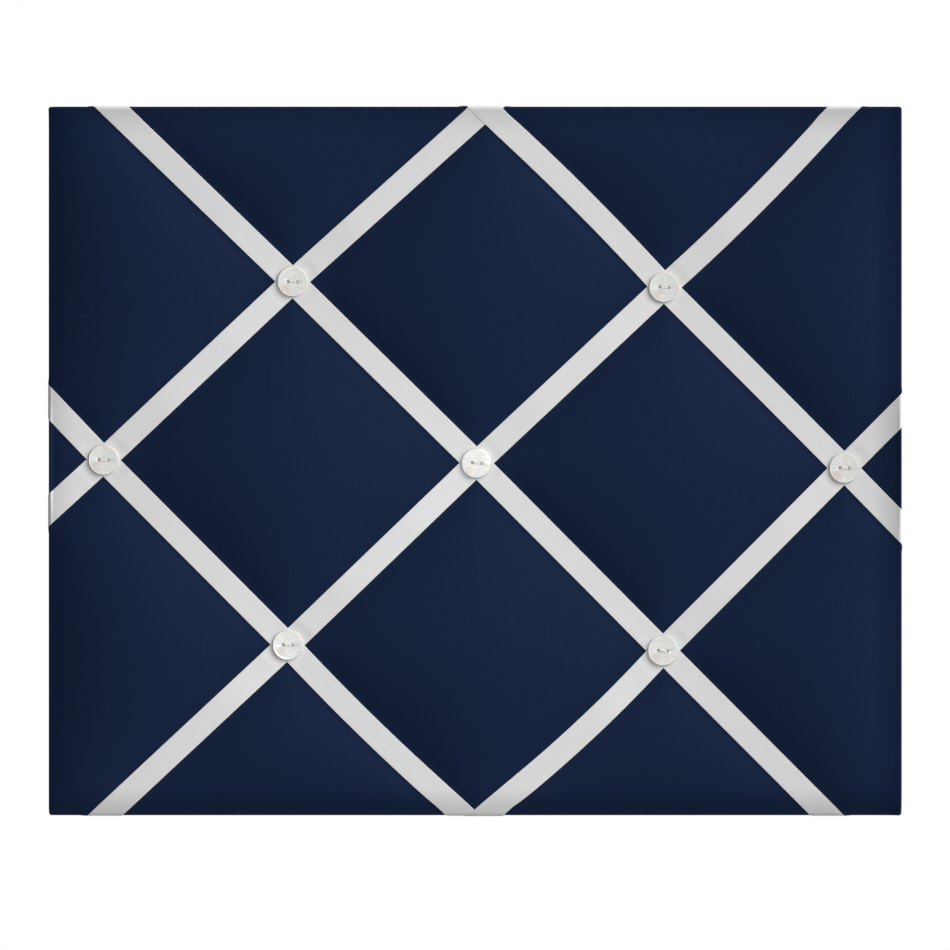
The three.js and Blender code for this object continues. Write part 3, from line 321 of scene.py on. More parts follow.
def bowedSpan(start, finish, bow, step):
    points = sampleLine([start, finish], step)
    share = np.linspace(0, 1, len(points))[:, None]
    run = (finish - start) / np.linalg.norm(finish - start)
    return points + np.array([-run[1], run[0]]) * 4 * share * (1 - share) * bow * mm


def ribbonLine(name):
    start, buttons, finish = ribbonPlan[name]
    step = ribbonForm["rowStep"]
    head, tail = tailPoints(start), tailPoints(finish)
    stops = [head[0]] + [buttonAt[b] for b in buttons] + [tail[0]]
    bows = [start[4]] + [0] * (len(buttons) - 1) + [finish[4]]
    middle = [bowedSpan(a, b, bow, step) for a, b, bow in zip(stops, stops[1:], bows)]
    line = np.concatenate([np.array(head[::-1])] + [m[1:] for m in middle] + [np.array(tail[1:])])
    line = sampleLine(line, step)
    for turn in range(ribbonForm["easing"]):
        line[1:-1] = (line[:-2] + 2 * line[1:-1] + line[2:]) / 4
    return line


ribbonLines = {name: ribbonLine(name) for name in ribbonPlan}
ribbonRuns = [line[::4] for line in ribbonLines.values()]  # every fourth point is enough to measure from
print("ribbon runs, mm:", {n: round(float(np.linalg.norm(np.diff(l, axis=0), axis=1).sum()) / mm)
                           for n, l in ribbonLines.items()})


# form of the padded front

def swell(distance, reach):
    return 1 - np.exp(-(np.maximum(distance, 0) / reach) ** 2)


def lineDistance(x, z, line):
    nearest = np.full(x.shape, 9.0)
    for a, b in zip(line[:-1], line[1:]):
        span = b - a
        share = np.clip(((x - a[0]) * span[0] + (z - a[1]) * span[1]) / (span @ span), 0, 1)
        nearest = np.minimum(nearest, np.hypot(x - a[0] - share * span[0], z - a[1] - share * span[1]))
    return nearest


def tuftDip(x, z):
    dip = np.zeros(x.shape)
    for place in buttonAt.values():
        away = np.maximum(np.hypot(x - place[0], z - place[1]) - boardForm["tuftFlat"], 0)
        wide, close = (np.minimum(away / boardForm[reach], 1) for reach in ("tuftReach", "dimpleReach"))
        drawn = boardForm["tuft"] * (1 - wide ** 2) ** 2 + boardForm["dimple"] * (1 - close ** 2) ** 2
        dip = np.maximum(dip, drawn)
    return dip


def plainSwell(x, z):  # pocket form before the cloth settles
    inset = np.minimum(halfWidth - np.abs(x), halfHeight - np.abs(z))
    rise = swell(inset - arris, boardForm["edgeReach"])
    for line in ribbonRuns:
        rise = rise * swell(lineDistance(x, z, line) - ribbonForm["width"] / 2, boardForm["swellReach"])
    return boardForm["loft"] * rise


def overEdge(past, lift):  # run past the border -> outwards, depth
    a = np.clip(past / arris, 0, math.pi / 2)
    b = np.clip((past - arrisArc - sideRun) / turnBack, 0, math.pi / 2)
    out = (arris + lift) * np.sin(a) - (turnBack + lift) * (1 - np.cos(b))
    depth = floorFace + arris - (arris + lift) * np.cos(a) + (turnBack + lift) * np.sin(b)
    depth = depth + np.clip(past - arrisArc, 0, sideRun)
    return out - np.maximum(past - wrapRun, 0), depth


def pastBorder(x, z):  # negative inside the border
    return np.abs(x) - flatX, np.abs(z) - flatZ


def thinning(past):
    reach, ease = boardForm["fallReach"], boardForm["fallEase"]
    inside = np.clip(1 + past / reach, 0, 1) ** 2
    return inside + 2 * ease / reach * (1 - np.exp(-np.maximum(past, 0) / ease))


def edgeFall(flat):  # depth lost near the edges of the pad
    x, z = flat[..., 0], flat[..., 1]
    pastX, pastZ = pastBorder(x, z)
    most = boardForm["edgeFall"]
    falls = [thinning(pastX) * np.where(x < 0, most["left"], most["right"]),
             thinning(pastZ) * np.where(z < 0, most["bottom"], most["top"])]
    fall = np.maximum(np.max(falls, axis=0), 0) + np.minimum(np.min(falls, axis=0), 0)
    fade = np.clip((np.maximum(pastX, pastZ) - arrisArc) / sideRun, 0, 1)
    return fall * (1 - easeStep(fade))


def onBoard(flat, lift, rise):  # flat plan -> place on the board
    x, z = flat[..., 0], flat[..., 1]
    pastX, pastZ = pastBorder(x, z)
    past = np.maximum(np.maximum(pastX, pastZ), 0)
    out, depth = overEdge(past, lift)
    y = depth + edgeFall(flat) - np.where(past > 0, 0, rise)
    return np.stack([np.where(pastX > 0, np.sign(x) * (flatX + out), x), y,
                     np.where(pastZ > 0, np.sign(z) * (flatZ + out), z)], axis=-1)


padCloth = {
    "grid": 3 * mm,
    "fineGrid": 1.6 * mm,     # of the finished cover
    "start": 0.6,             # share of the plain swell that it starts from
    "heldReach": 0.5 * mm,    # held this far past a ribbon's side
    "pressure": 72.0,
    "mass": 0.002,
    "quality": 6,
    "damping": 4,
    "stretch": 3,
    "shear": 1,
    "bend": 0.02,
    "frames": 20,
    "cap": 8 * mm,            # the most that a point may move
    "smooth": 3,
    "rollStart": 1.9 * mm,    # past a ribbon's side, where the cloth begins to rise
    "rollReach": 1.8 * mm,
}


def gridAxes(step):
    return [np.linspace(-span, span, int(round(2 * span / step)) + 1) for span in (flatX, flatZ)]


def gridFaces(columns, rows, first=0, flip=False):
    faces = []
    for j in range(rows - 1):
        for i in range(columns - 1):
            a = first + j * columns + i
            quad = (a, a + 1, a + columns + 1, a + columns)
            faces.append(quad[::-1] if flip else quad)
    return faces


def loopFaces(inner, outer):  # quads between two closed loops of points
    following = list(range(1, len(inner))) + [0]
    return [(inner[k], outer[k], outer[n], inner[n]) for k, n in enumerate(following)]


def tubeFaces(count, rows):  # quads along rows of closed loops
    turns = [(k, (k + 1) % count) for k in range(count)]
    return [(a + k, a + n, a + count + n, a + count + k) for a in range(0, (rows - 1) * count, count)
            for k, n in turns]


def cubicTaps(place, first, step, count):  # four neighbours and their weights
    at = np.clip((place - first) / step, 0, count - 1)
    near = np.minimum(at.astype(int), count - 2)
    t = at - near
    weights = np.stack([-0.5 * t + t ** 2 - 0.5 * t ** 3, 1 - 2.5 * t ** 2 + 1.5 * t ** 3,
                        0.5 * t + 2 * t ** 2 - 1.5 * t ** 3, -0.5 * t ** 2 + 0.5 * t ** 3])
    return np.clip(near + np.arange(-1, 3)[:, None], 0, count - 1), weights


def finerGrid(grid, coarse, fine):
    column, weightX = cubicTaps(fine[0], coarse[0][0], coarse[0][1] - coarse[0][0], len(coarse[0]))
    row, weightZ = cubicTaps(fine[1], coarse[1][0], coarse[1][1] - coarse[1][0], len(coarse[1]))
    wide = sum(grid[:, column[k]] * weightX[k] for k in range(4))
    return sum(wide[row[k]] * weightZ[k][:, None] for k in range(4))


def heldByRibbon(x, z):  # run from the nearest ribbon's side
    return np.min([lineDistance(x, z, line) for line in ribbonRuns], axis=0) - ribbonForm["width"] / 2


def settlePockets(fine):  # the wadding pushes the held cloth out
    coarse = gridAxes(padCloth["grid"])
    x, z = np.meshgrid(*coarse)
    base = -tuftDip(x, z)
    begin = base + padCloth["start"] * plainSwell(x, z)
    columns, rows = len(coarse[0]), len(coarse[1])
    points = np.stack([x, -begin, z], axis=-1).reshape(-1, 3)
    pad = makePiece("settling_pad", points, gridFaces(columns, rows), None)
    held = heldByRibbon(x, z) < padCloth["heldReach"]
    away = [np.hypot(x - place[0], z - place[1]) for place in buttonAt.values()]
    held |= np.min(away, axis=0) < boardForm["tuftFlat"]
    held[[0, -1]] = True
    held[:, [0, -1]] = True
    group = pad.vertex_groups.new(name="held")
    group.add([int(i) for i in np.flatnonzero(held)], 1.0, "ADD")
    cloth = pad.modifiers.new("cloth", "CLOTH")
    cloth.collision_settings.use_collision = False
    settings = cloth.settings
    settings.vertex_group_mass = "held"
    settings.mass, settings.quality = padCloth["mass"], padCloth["quality"]
    settings.air_damping = padCloth["damping"]
    settings.tension_stiffness = settings.compression_stiffness = padCloth["stretch"]
    settings.shear_stiffness, settings.bending_stiffness = padCloth["shear"], padCloth["bend"]
    settings.use_pressure = settings.use_pressure_volume = True
    settings.uniform_pressure_force = padCloth["pressure"]
    settings.target_volume = 0  # an even push, whatever the volume
    settings.effector_weights.gravity = 0
    for step in range(1, padCloth["frames"] + 1):
        scene.frame_set(step)
    shape = pad.evaluated_get(bpy.context.evaluated_depsgraph_get()).data
    moved = np.zeros(len(shape.vertices) * 3, np.float32)
    shape.vertices.foreach_get("co", moved)
    out = -moved.reshape(rows, columns, 3)[:, :, 1].astype(float)
    dropPiece(pad)
    scene.frame_set(1)
    puff = begin + np.clip(out - begin, -padCloth["cap"], padCloth["cap"]) - base
    for turn in range(padCloth["smooth"]):  # wadding is too soft to hold a one-thread ripple
        puff[:, 1:-1] = (puff[:, :-2] + 2 * puff[:, 1:-1] + puff[:, 2:]) / 4
        puff[1:-1] = (puff[:-2] + 2 * puff[1:-1] + puff[2:]) / 4
    print("pockets settled, mm:", round(float(puff.max()) / mm, 2))
    return finerGrid(puff, coarse, fine)


axes = gridAxes(padCloth["fineGrid"])
meshX, meshZ = np.meshgrid(*axes)
rise = settlePockets(axes)
rollRun = np.maximum(heldByRibbon(meshX, meshZ) - padCloth["rollStart"], 0)
rise = rise * (1 - np.exp(-rollRun / padCloth["rollReach"]))
rise = rise - tuftDip(meshX, meshZ)
print("front form, mm:", round(float(rise.min()) / mm, 2), round(float(rise.max()) / mm, 2))


# cover: one sheet of navy cotton over the front, round the sides and on to the back

def navyCotton():
    # plain cotton cloth, tightly woven and matt: fine crossed threads and a soft bloom at a slant
    material, tree, shader = startMaterial("navy_cotton", Roughness=0.55, Specular_IOR_Level=0.04,
                                           Specular_Tint=(0.2, 0.48, 1.0, 1.0))
    thread = 0.55 * mm  # a little coarser than real, so it shows close up
    cloth = addNode(tree, "ShaderNodeUVMap", uv_map="plan")
    place = addNode(tree, "ShaderNodeSeparateXYZ", {0: cloth.outputs[0]})
    waves = []
    for axis in ("X", "Y"):
        turn = addNode(tree, "ShaderNodeMath", {0: place.outputs[axis], 1: math.pi / thread},
                       operation="MULTIPLY")
        waves.append(addNode(tree, "ShaderNodeMath", {0: turn.outputs[0]}, operation="SINE"))
    weave = addNode(tree, "ShaderNodeMath", {0: waves[0].outputs[0], 1: waves[1].outputs[0]},
                    operation="MULTIPLY")
    slub = addNode(tree, "ShaderNodeTexNoise", {"Vector": cloth.outputs[0], "Scale": 1 / (2.2 * mm),
                   "Detail": 4.0})
    tone = addNode(tree, "ShaderNodeValToRGB", {"Fac": slub.outputs["Fac"]},
                   [(0.3, "#16233c"), (0.7, "#192540")])
    bump = addNode(tree, "ShaderNodeBump", {"Strength": 0.07, "Distance": 0.08 * mm,
                   "Height": weave.outputs[0]})
    setInputs(tree, shader, {"Base Color": tone.outputs["Color"], "Normal": bump.outputs[0]})
    return material


# rows of mesh round the edge, points in a corner, and how round the corner is
coverRows = {"arris": 9, "side": 7, "back": 4, "hem": 7, "corner": 9, "cornerRadius": 2.8 * mm}


def outward(border):  # which way a border point faces, in x and z
    return np.sign(border) * (np.abs(np.abs(border) - [flatX, flatZ]) < hair)


def ringAt(border, out, corner):  # border points pushed outwards to one ring
    soft = min(coverRows["cornerRadius"], max(out, 0))
    straight = max(out, 0) - soft
    angle = np.where(corner >= 0, corner, 0) * math.pi / 2
    facing, ring = outward(border), []
    for axis, limit, turned in ((0, flatX, np.cos(angle)), (1, flatZ, np.sin(angle))):
        place, reach = border[:, axis], limit + out
        side = np.sign(place)
        onCorner = side * (limit + np.where(out > 0, straight + soft * turned, out))
        onSide = np.where(facing[:, axis] != 0, side * reach, np.clip(place, -reach, reach))
        ring.append(np.where(corner >= 0, onCorner, onSide))
    return ring


def borderLoop(columns, rows):  # anticlockwise from the front, corners fanned
    index = lambda i, j: j * columns + i
    loop = [(index(i, 0), -1) for i in range(1, columns - 1)]
    fan = [s / (coverRows["corner"] - 1) for s in range(coverRows["corner"])]
    corners = [index(columns - 1, 0), index(columns - 1, rows - 1), index(0, rows - 1), index(0, 0)]
    sides = [[(index(columns - 1, j), -1) for j in range(1, rows - 1)],
             [(index(i, rows - 1), -1) for i in range(columns - 2, 0, -1)],
             [(index(0, j), -1) for j in range(rows - 2, 0, -1)], []]
    for turn, (spot, side) in enumerate(zip(corners, sides)):
        order = fan[::-1] if turn % 2 == 0 else fan  # share counts from the x side to the z side
        loop += [(spot, share) for share in order] + side
    return loop


def coverCloth(rise):
    columns, rows = len(axes[0]), len(axes[1])
    flat = np.stack([meshX, meshZ], axis=-1).reshape(-1, 2)
    points, plan = [onBoard(flat, 0, rise.reshape(-1))], [flat]
    faces = gridFaces(columns, rows)
    inner, corner = (np.array(part) for part in zip(*borderLoop(columns, rows)))
    border, total = flat[inner], columns * rows
    stops = [0, arrisArc, arrisArc + sideRun, wrapRun, wrapRun + boardForm["hem"]]
    for part, start, stop in zip(("arris", "side", "back", "hem"), stops, stops[1:]):
        for run in np.linspace(start, stop, coverRows[part])[1:]:
            out, depth = overEdge(run, 0)
            px, pz = ringAt(border, out, corner)
            plan.append(border + outward(border) * run)
            points.append(np.stack([px, depth + edgeFall(plan[-1]), pz], axis=-1))
            outer = np.arange(total, total + len(inner))
            faces += loopFaces(inner, outer)
            inner, total = outer, total + len(inner)
    faces = [tuple(dict.fromkeys(int(v) for v in face)) for face in faces]
    faces = [face for face in faces if len(face) > 2]
    points, plan = np.concatenate(points), np.concatenate(plan)
    return tidyMesh(makePiece("cover_cloth", points, faces, navyCotton(), plan))


cover = fitPiece(coverCloth(rise), "board", "navy_cotton", "cover_fabric")


# ribbons: woven white bands, laid over the front, wrapped round the edges and tacked behind

def whiteRibbon():
    # woven polyester ribbon, single face satin: smooth and softly shining along its run, firm edges
    material, tree, shader = startMaterial("white_ribbon", Roughness=0.5, Specular_IOR_Level=0.4,
                                           Sheen_Weight=0.1, Sheen_Roughness=0.4)
    cloth = addNode(tree, "ShaderNodeUVMap", uv_map="plan")
    place = addNode(tree, "ShaderNodeSeparateXYZ", {0: cloth.outputs[0]})
    pick = 0.7 * mm  # coarser than real, so it shows close up
    rib = addNode(tree, "ShaderNodeMath", {0: place.outputs["Y"], 1: 2 * math.pi / pick},
                  operation="MULTIPLY")
    ribs = addNode(tree, "ShaderNodeMath", {0: rib.outputs[0]}, operation="SINE")
    along = addNode(tree, "ShaderNodeMapping", {"Vector": cloth.outputs[0], "Scale": (1, 1 / 40, 1)})
    streak = addNode(tree, "ShaderNodeTexNoise", {"Vector": along.outputs[0], "Scale": 1 / (0.6 * mm),
                     "Detail": 2.0})
    tone = addNode(tree, "ShaderNodeValToRGB", {"Fac": streak.outputs["Fac"]},
                   [(0.3, "#dcdcdc"), (0.7, "#e2e2e2")])
    bump = addNode(tree, "ShaderNodeBump", {"Strength": 0.03, "Distance": 0.05 * mm,
                   "Height": ribs.outputs[0]})
    setInputs(tree, shader, {"Base Color": tone.outputs["Color"], "Normal": bump.outputs[0]})
    return material


ribbonMaterial = whiteRibbon()


def crossingLift(name, line):  # where it rides over another ribbon
    run = np.concatenate([[0], np.cumsum(np.linalg.norm(np.diff(line, axis=0), axis=1))])
    lift = np.zeros(len(line))
    spots = [(buttonAt[b], ribbonForm["crossRun"]) for b, top in ribbonOnTop.items() if top == name]
    if name in edgeOnTop:
        other = ribbonLines[edgeOnTop[name]]
        gaps = np.linalg.norm(line[:, None] - other[None], axis=2)
        nearest = np.unravel_index(gaps.argmin(), gaps.shape)[0]
        spots.append((line[nearest], ribbonForm["edgeCrossRun"]))
    for spot, flatRun in spots:
        at = run[np.linalg.norm(line - spot, axis=1).argmin()]
        ease = np.clip((np.abs(run - at) - flatRun) / ribbonForm["crossEase"], 0, 1)
        lift = np.maximum(lift, 1 - easeStep(ease))
    return lift * ribbonForm["lift"], run


def rowDirections(name, line, heading):  # across the run, and along the edge where it wraps
    side = np.stack([-heading[:, 1], heading[:, 0]], axis=1)
    for end, sense in ((ribbonPlan[name][0], -1), (ribbonPlan[name][2], 1)):
        out, along, reach = (np.array(v) for v in edgeAxes[end[0]])
        straight = sense * (out + along * end[2]) / math.hypot(1, end[2])
        across = np.array([-straight[1], straight[0]])
        onEdge = across - straight * (across @ out) / (straight @ out)
        past = line @ out - (reach - arris)
        near = np.clip(past / ribbonForm["squareRun"] + 1, 0, 1)[:, None]
        gather = np.clip((past - ribbonForm["turnAt"]) / (sideRun - ribbonForm["turnAt"]), 0, 1)[:, None]
        width = 1 + (math.hypot(1, ribbonForm["sideSlant"]) / np.linalg.norm(onEdge) - 1) * gather
        square = (across + (onEdge - across) * easeStep(near)) * width
        side = np.where(past[:, None] > -ribbonForm["squareRun"], square, side)
    return side


def ribbonBand(name):
    line = ribbonLines[name]
    lift, run = crossingLift(name, line)
    heading = np.gradient(line, axis=0)
    heading /= np.linalg.norm(heading, axis=1)[:, None]
    side = rowDirections(name, line, heading)
    half, thick = ribbonForm["width"] / 2, ribbonForm["thickness"]
    # the section: places in half widths, heights in thicknesses
    across = np.array([-1, -0.99, -0.97, -0.6, -0.2, 0.2, 0.6, 0.97, 0.99, 1])
    top = np.array([0.5, 0.95, 1, 1, 1, 1, 1, 1, 0.95, 0.5])
    under = np.array([0.06, 0, 0, 0, 0, 0, 0, 0.06])
    section = list(zip(across, top)) + list(zip(across[-2:0:-1], under))
    loops, plan = [], []
    for place, height in section:
        flat = line + side * half * place
        loops.append(onBoard(flat, ribbonForm["clear"] + lift + height * thick,
                             -tuftDip(flat[:, 0], flat[:, 1])))
        plan.append(np.stack([np.full(len(run), half * place), run], axis=1))
    count, rows = len(section), len(line)
    points = np.stack(loops, axis=1).reshape(-1, 3)
    faces = tubeFaces(count, rows)
    faces += [tuple(range(count))[::-1], tuple((rows - 1) * count + k for k in range(count))]
    piece = makePiece(name + "_band", points, faces, ribbonMaterial, np.stack(plan, axis=1).reshape(-1, 2))
    tidyMesh(piece)
    return piece, run[-1]


for name in ribbonPlan:
    band, length = ribbonBand(name)
    fitPiece(band, "board", "white_ribbon", name)


# wadding: a soft sheet of fibre between the board and the cover, hidden by them

def fibreWadding():
    # bonded polyester fibre: white, matt and cloudy
    material, tree, shader, fibre = mottled(
        "polyester_wadding", 2 * mm, ("#e2e0da", "#f2f0ec"), {"Detail": 6.0, "Roughness": 0.7},
        Roughness=0.95, Specular_IOR_Level=0.1)
    bump = addNode(tree, "ShaderNodeBump", {"Strength": 0.5, "Distance": 0.6 * mm,
                   "Height": fibre.outputs["Fac"]})
    setInputs(tree, shader, {"Normal": bump.outputs[0]})
    return material


# every second point of the cover, this far below it and inside its edge
waddingForm = {"skip": 2, "below": 0.9 * mm, "sideGap": 0.9 * mm}


def waddingPad(rise):
    skip, below = waddingForm["skip"], waddingForm["below"]
    x, z, up = meshX[::skip, ::skip], meshZ[::skip, ::skip], rise[::skip, ::skip]
    columns, rows = x.shape[1], x.shape[0]
    fall = edgeFall(np.stack([x, z], axis=-1))
    front = np.stack([x, floorFace + below + fall - up, z], axis=-1).reshape(-1, 3)
    back = np.stack([x, np.full(x.shape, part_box("wadding_pad")[1].y), z], axis=-1).reshape(-1, 3)
    loop = list(range(columns)) + [r * columns + columns - 1 for r in range(1, rows)]
    loop += [(rows - 1) * columns + c for c in range(columns - 2, -1, -1)]
    loop += [r * columns for r in range(rows - 2, 0, -1)]
    points, faces = [front, back], gridFaces(columns, rows) + gridFaces(columns, rows, columns * rows, True)
    inner, total = loop, 2 * columns * rows
    reach = arris - waddingForm["sideGap"]
    for share in (0.25, 0.5, 0.75, 1):
        angle = share * math.pi / 2
        ring = front[loop].copy()
        away = outward(ring[:, [0, 2]])
        away *= np.where(np.abs(away).sum(axis=1) > 1, 0.5, 1.0)[:, None]    # the corners are trimmed
        ring[:, [0, 2]] += away * reach * math.sin(angle)
        ring[:, 1] += reach * (1 - math.cos(angle))
        points.append(ring)
        outer = list(range(total, total + len(loop)))
        faces += loopFaces(inner, outer)
        inner, total = outer, total + len(loop)
    faces += loopFaces(inner, [columns * rows + spot for spot in loop])
    return tidyMesh(makePiece("wadding", np.concatenate(points), faces, fibreWadding()))


wadding = fitPiece(waddingPad(rise), "board", "polyester_wadding", "wadding_pad")


# two node trees: one sets a shape on points, the other runs a wire or thread along a path

def openTree(name, inputs):
    tree = bpy.data.node_groups.new(name, "GeometryNodeTree")
    tree.interface.new_socket(name="Geometry", in_out="INPUT", socket_type="NodeSocketGeometry")
    for label, kind in inputs:
        tree.interface.new_socket(name=label, in_out="INPUT", socket_type="NodeSocket" + kind)
    tree.interface.new_socket(name="Geometry", in_out="OUTPUT", socket_type="NodeSocketGeometry")
    return tree, addNode(tree, "NodeGroupInput").outputs


def closeTree(tree, shape, finish):
    done = addNode(tree, "GeometryNodeSetMaterial", {"Geometry": shape.outputs[0], "Material": finish})
    addNode(tree, "NodeGroupOutput", {"Geometry": done.outputs[0]})
    return tree


def setOnPointsTree():
    tree, given = openTree("set_on_points", [("Shape", "Object"), ("Turn", "Rotation"),
                           ("Finish", "Material")])
    shape = addNode(tree, "GeometryNodeObjectInfo", {"Object": given["Shape"]})
    copies = addNode(tree, "GeometryNodeInstanceOnPoints", {"Points": given["Geometry"],
                     "Instance": shape.outputs["Geometry"], "Rotation": given["Turn"]})
    real = addNode(tree, "GeometryNodeRealizeInstances", {"Geometry": copies.outputs[0]})
    return closeTree(tree, real, given["Finish"])


def wireTree():
    tree, given = openTree("wire_along_path", [("Radius", "Float"), ("Lobes", "Int"),
                           ("Lobe Depth", "Float"), ("Twist", "Float"), ("Finish", "Material")])
    line = addNode(tree, "GeometryNodeMeshToCurve", {"Mesh": given["Geometry"]})
    along = addNode(tree, "GeometryNodeSplineParameter")
    turn = addNode(tree, "ShaderNodeMath", {0: along.outputs["Length"], 1: given["Twist"]},
                   operation="MULTIPLY")
    tilted = addNode(tree, "GeometryNodeSetCurveTilt", {"Curve": line.outputs[0], "Tilt": turn.outputs[0]})
    inner = addNode(tree, "ShaderNodeMath", {0: given["Radius"], 1: given["Lobe Depth"]},
                    operation="MULTIPLY")
    section = addNode(tree, "GeometryNodeCurveStar", {"Points": given["Lobes"],
                      "Inner Radius": inner.outputs[0], "Outer Radius": given["Radius"]})
    tube = addNode(tree, "GeometryNodeCurveToMesh", {"Curve": tilted.outputs[0],
                   "Profile Curve": section.outputs[0], "Fill Caps": True})
    smooth = addNode(tree, "GeometryNodeSetShadeSmooth", {"Geometry": tube.outputs[0]})
    real = addNode(tree, "GeometryNodeRealizeInstances", {"Geometry": smooth.outputs[0]})
    return closeTree(tree, real, given["Finish"])


setOnPoints, wireAlong = setOnPointsTree(), wireTree()


def growPiece(name, points, edges, tree, **values):
    mesh = bpy.data.meshes.new(name)
    mesh.from_pydata([tuple(p) for p in points], edges, [])
    piece = bpy.data.objects.new(name, mesh)
    scene.collection.objects.link(piece)
    nodes = piece.modifiers.new("nodes", "NODES")
    nodes.node_group = tree
    for socket in tree.interface.items_tree:
        label = socket.name.replace(" ", "_")
        if socket.in_out == "INPUT" and label in values:
            nodes[socket.identifier] = values[label]
    return bakeModifiers(piece)


def setShape(name, shape, points, turn, material):
    copies = growPiece(name, points, [], setOnPoints, Shape=shape, Turn=turn, Finish=material)
    dropPiece(shape)
    return copies


def lathe(name, profile, sides):  # profile of radius and depth, turned about Y
    turns = [2 * math.pi * k / sides for k in range(sides)]
    points = [(r * math.cos(a), y, r * math.sin(a)) for r, y in profile for a in turns]
    widest = max(r for r, y in profile)
    plan = [(x / widest, z / widest) for x, y, z in points]
    return tidyMesh(makePiece(name, points, tubeFaces(sides, len(profile)), None, plan))


def cutWith(piece, cutters, softEdge):
    for cutter in cutters:
        cut = piece.modifiers.new("cut", "BOOLEAN")
        cut.object, cut.operation, cut.solver = cutter, "DIFFERENCE", "EXACT"
    soften(piece, softEdge, 2, 40)
    bakeModifiers(piece)
    for cutter in cutters:
        dropPiece(cutter)
    return tidyMesh(piece, sharpAngle=45, recalculate=False)


# buttons: pearl-effect discs with a soft rim and two holes, seven alike

def pearlButton():
    # cast polyester with pearl pigment: glossy warm white, cloudy streaks, a breath of pink
    material, tree, shader = startMaterial("pearl_button", Roughness=0.28, Coat_Weight=0.3,
                                           Coat_Roughness=0.12, Subsurface_Weight=0.6, Subsurface_Scale=1.0,
                                           Subsurface_Radius=(1.6 * mm, 1.4 * mm, 1.2 * mm))
    place = addNode(tree, "ShaderNodeTexCoord")
    flow = addNode(tree, "ShaderNodeMapping", {"Vector": place.outputs["Object"], "Scale": (0.25, 1, 1)})
    streak = addNode(tree, "ShaderNodeTexNoise", {"Vector": flow.outputs[0], "Scale": 1 / (0.9 * mm),
                     "Detail": 3.0, "Distortion": 0.8})
    cloud = addNode(tree, "ShaderNodeTexNoise", {"Vector": place.outputs["Object"], "Scale": 1 / (5 * mm),
                    "Detail": 2.0})
    white = addNode(tree, "ShaderNodeValToRGB", {"Fac": streak.outputs["Fac"]},
                    [(0.3, "#e2e2df"), (0.5, "#ededeb"), (0.7, "#f8f8f7")])
    blush = addNode(tree, "ShaderNodeValToRGB", {"Fac": cloud.outputs["Fac"]},
                    [(0.35, "#f2f5f5"), (0.55, "#fbf9f6"), (0.72, "#f8f3ef")])
    tone = addNode(tree, "ShaderNodeMix", {"Factor": 1.0, "A": white.outputs["Color"],
                   "B": blush.outputs["Color"]}, data_type="RGBA", blend_type="MULTIPLY")
    face = addNode(tree, "ShaderNodeUVMap", uv_map="plan")
    away = addNode(tree, "ShaderNodeVectorMath", {0: face.outputs[0], 1: (-0.5, -0.5, 0)},
                   operation="DISTANCE")
    ragged = addNode(tree, "ShaderNodeMath", {0: cloud.outputs["Fac"], 1: 0.7, 2: away.outputs["Value"]},
                     operation="MULTIPLY_ADD")
    rosy = addNode(tree, "ShaderNodeMapRange", {"Value": ragged.outputs[0], "From Min": 0.85,
                   "From Max": 0.45, "To Max": 0.75})
    # growth rings of the shell, drawn near-white on the left side only: partly the shell's figure, partly a
    # painted highlight
    shell = addNode(tree, "ShaderNodeMapping", {"Vector": face.outputs[0], "Location": (-1.3, -0.9, 0)})
    growth = addNode(tree, "ShaderNodeTexWave", {"Vector": shell.outputs[0], "Scale": 3.2,
                     "Distortion": 2.0, "Detail": 1.0, "Detail Scale": 2.0},
                     wave_type="RINGS", rings_direction="Z")
    part = addNode(tree, "ShaderNodeSeparateXYZ", {0: face.outputs[0]})
    left = addNode(tree, "ShaderNodeMapRange", {"Value": part.outputs["X"], "From Min": 0.1,
                   "From Max": -0.5, "To Max": 0.5})
    ringsAndHighlight = addNode(tree, "ShaderNodeMath", {0: growth.outputs["Fac"], 1: left.outputs[0]},
                     operation="MULTIPLY")
    middle = addNode(tree, "ShaderNodeVectorMath", {0: face.outputs[0]}, operation="LENGTH")
    # painted shade: the rounded edge is darkened grey, standing in for the thin shadow round the rim
    rimShade = addNode(tree, "ShaderNodeMapRange", {"Value": middle.outputs["Value"], "From Min": 0.945,
                    "From Max": 0.985, "To Max": 0.85})
    for share, colour in ((rosy, "#d2c2b8"), (ringsAndHighlight, "#fdfdfb"), (rimShade, "#b0aca1")):
        tone = addNode(tree, "ShaderNodeMix", {"Factor": share.outputs[0], "A": tone.outputs["Result"],
                       "B": linear(colour)}, data_type="RGBA")
    bump = addNode(tree, "ShaderNodeBump", {"Strength": 0.12, "Distance": 0.1 * mm,
                   "Height": streak.outputs["Fac"]})
    setInputs(tree, shader, {"Base Color": tone.outputs["Result"], "Normal": bump.outputs[0]})
    return material


buttonForm = {
    "radius": 7.5 * mm,
    "thickness": 1.1 * mm,
    "dish": 0.06 * mm,
    "edge": 0.35 * mm,        # rounding of the rim
    "rim": 0.7 * mm,          # width of the raised line inside it
    "holeSpacing": 4.2 * mm,
    "holeRadius": 0.8 * mm,
    "holeSoft": 0.14 * mm,
    "drill": (2 * mm, -5 * mm),    # depths that the drill runs between
    "turn": math.radians(4),  # right hole low
    "backDepth": floorFace + boardForm["tuft"] + boardForm["dimple"] - ribbonForm["clear"]
    - ribbonForm["lift"] - ribbonForm["thickness"],  # drawn down on to the ribbons
}


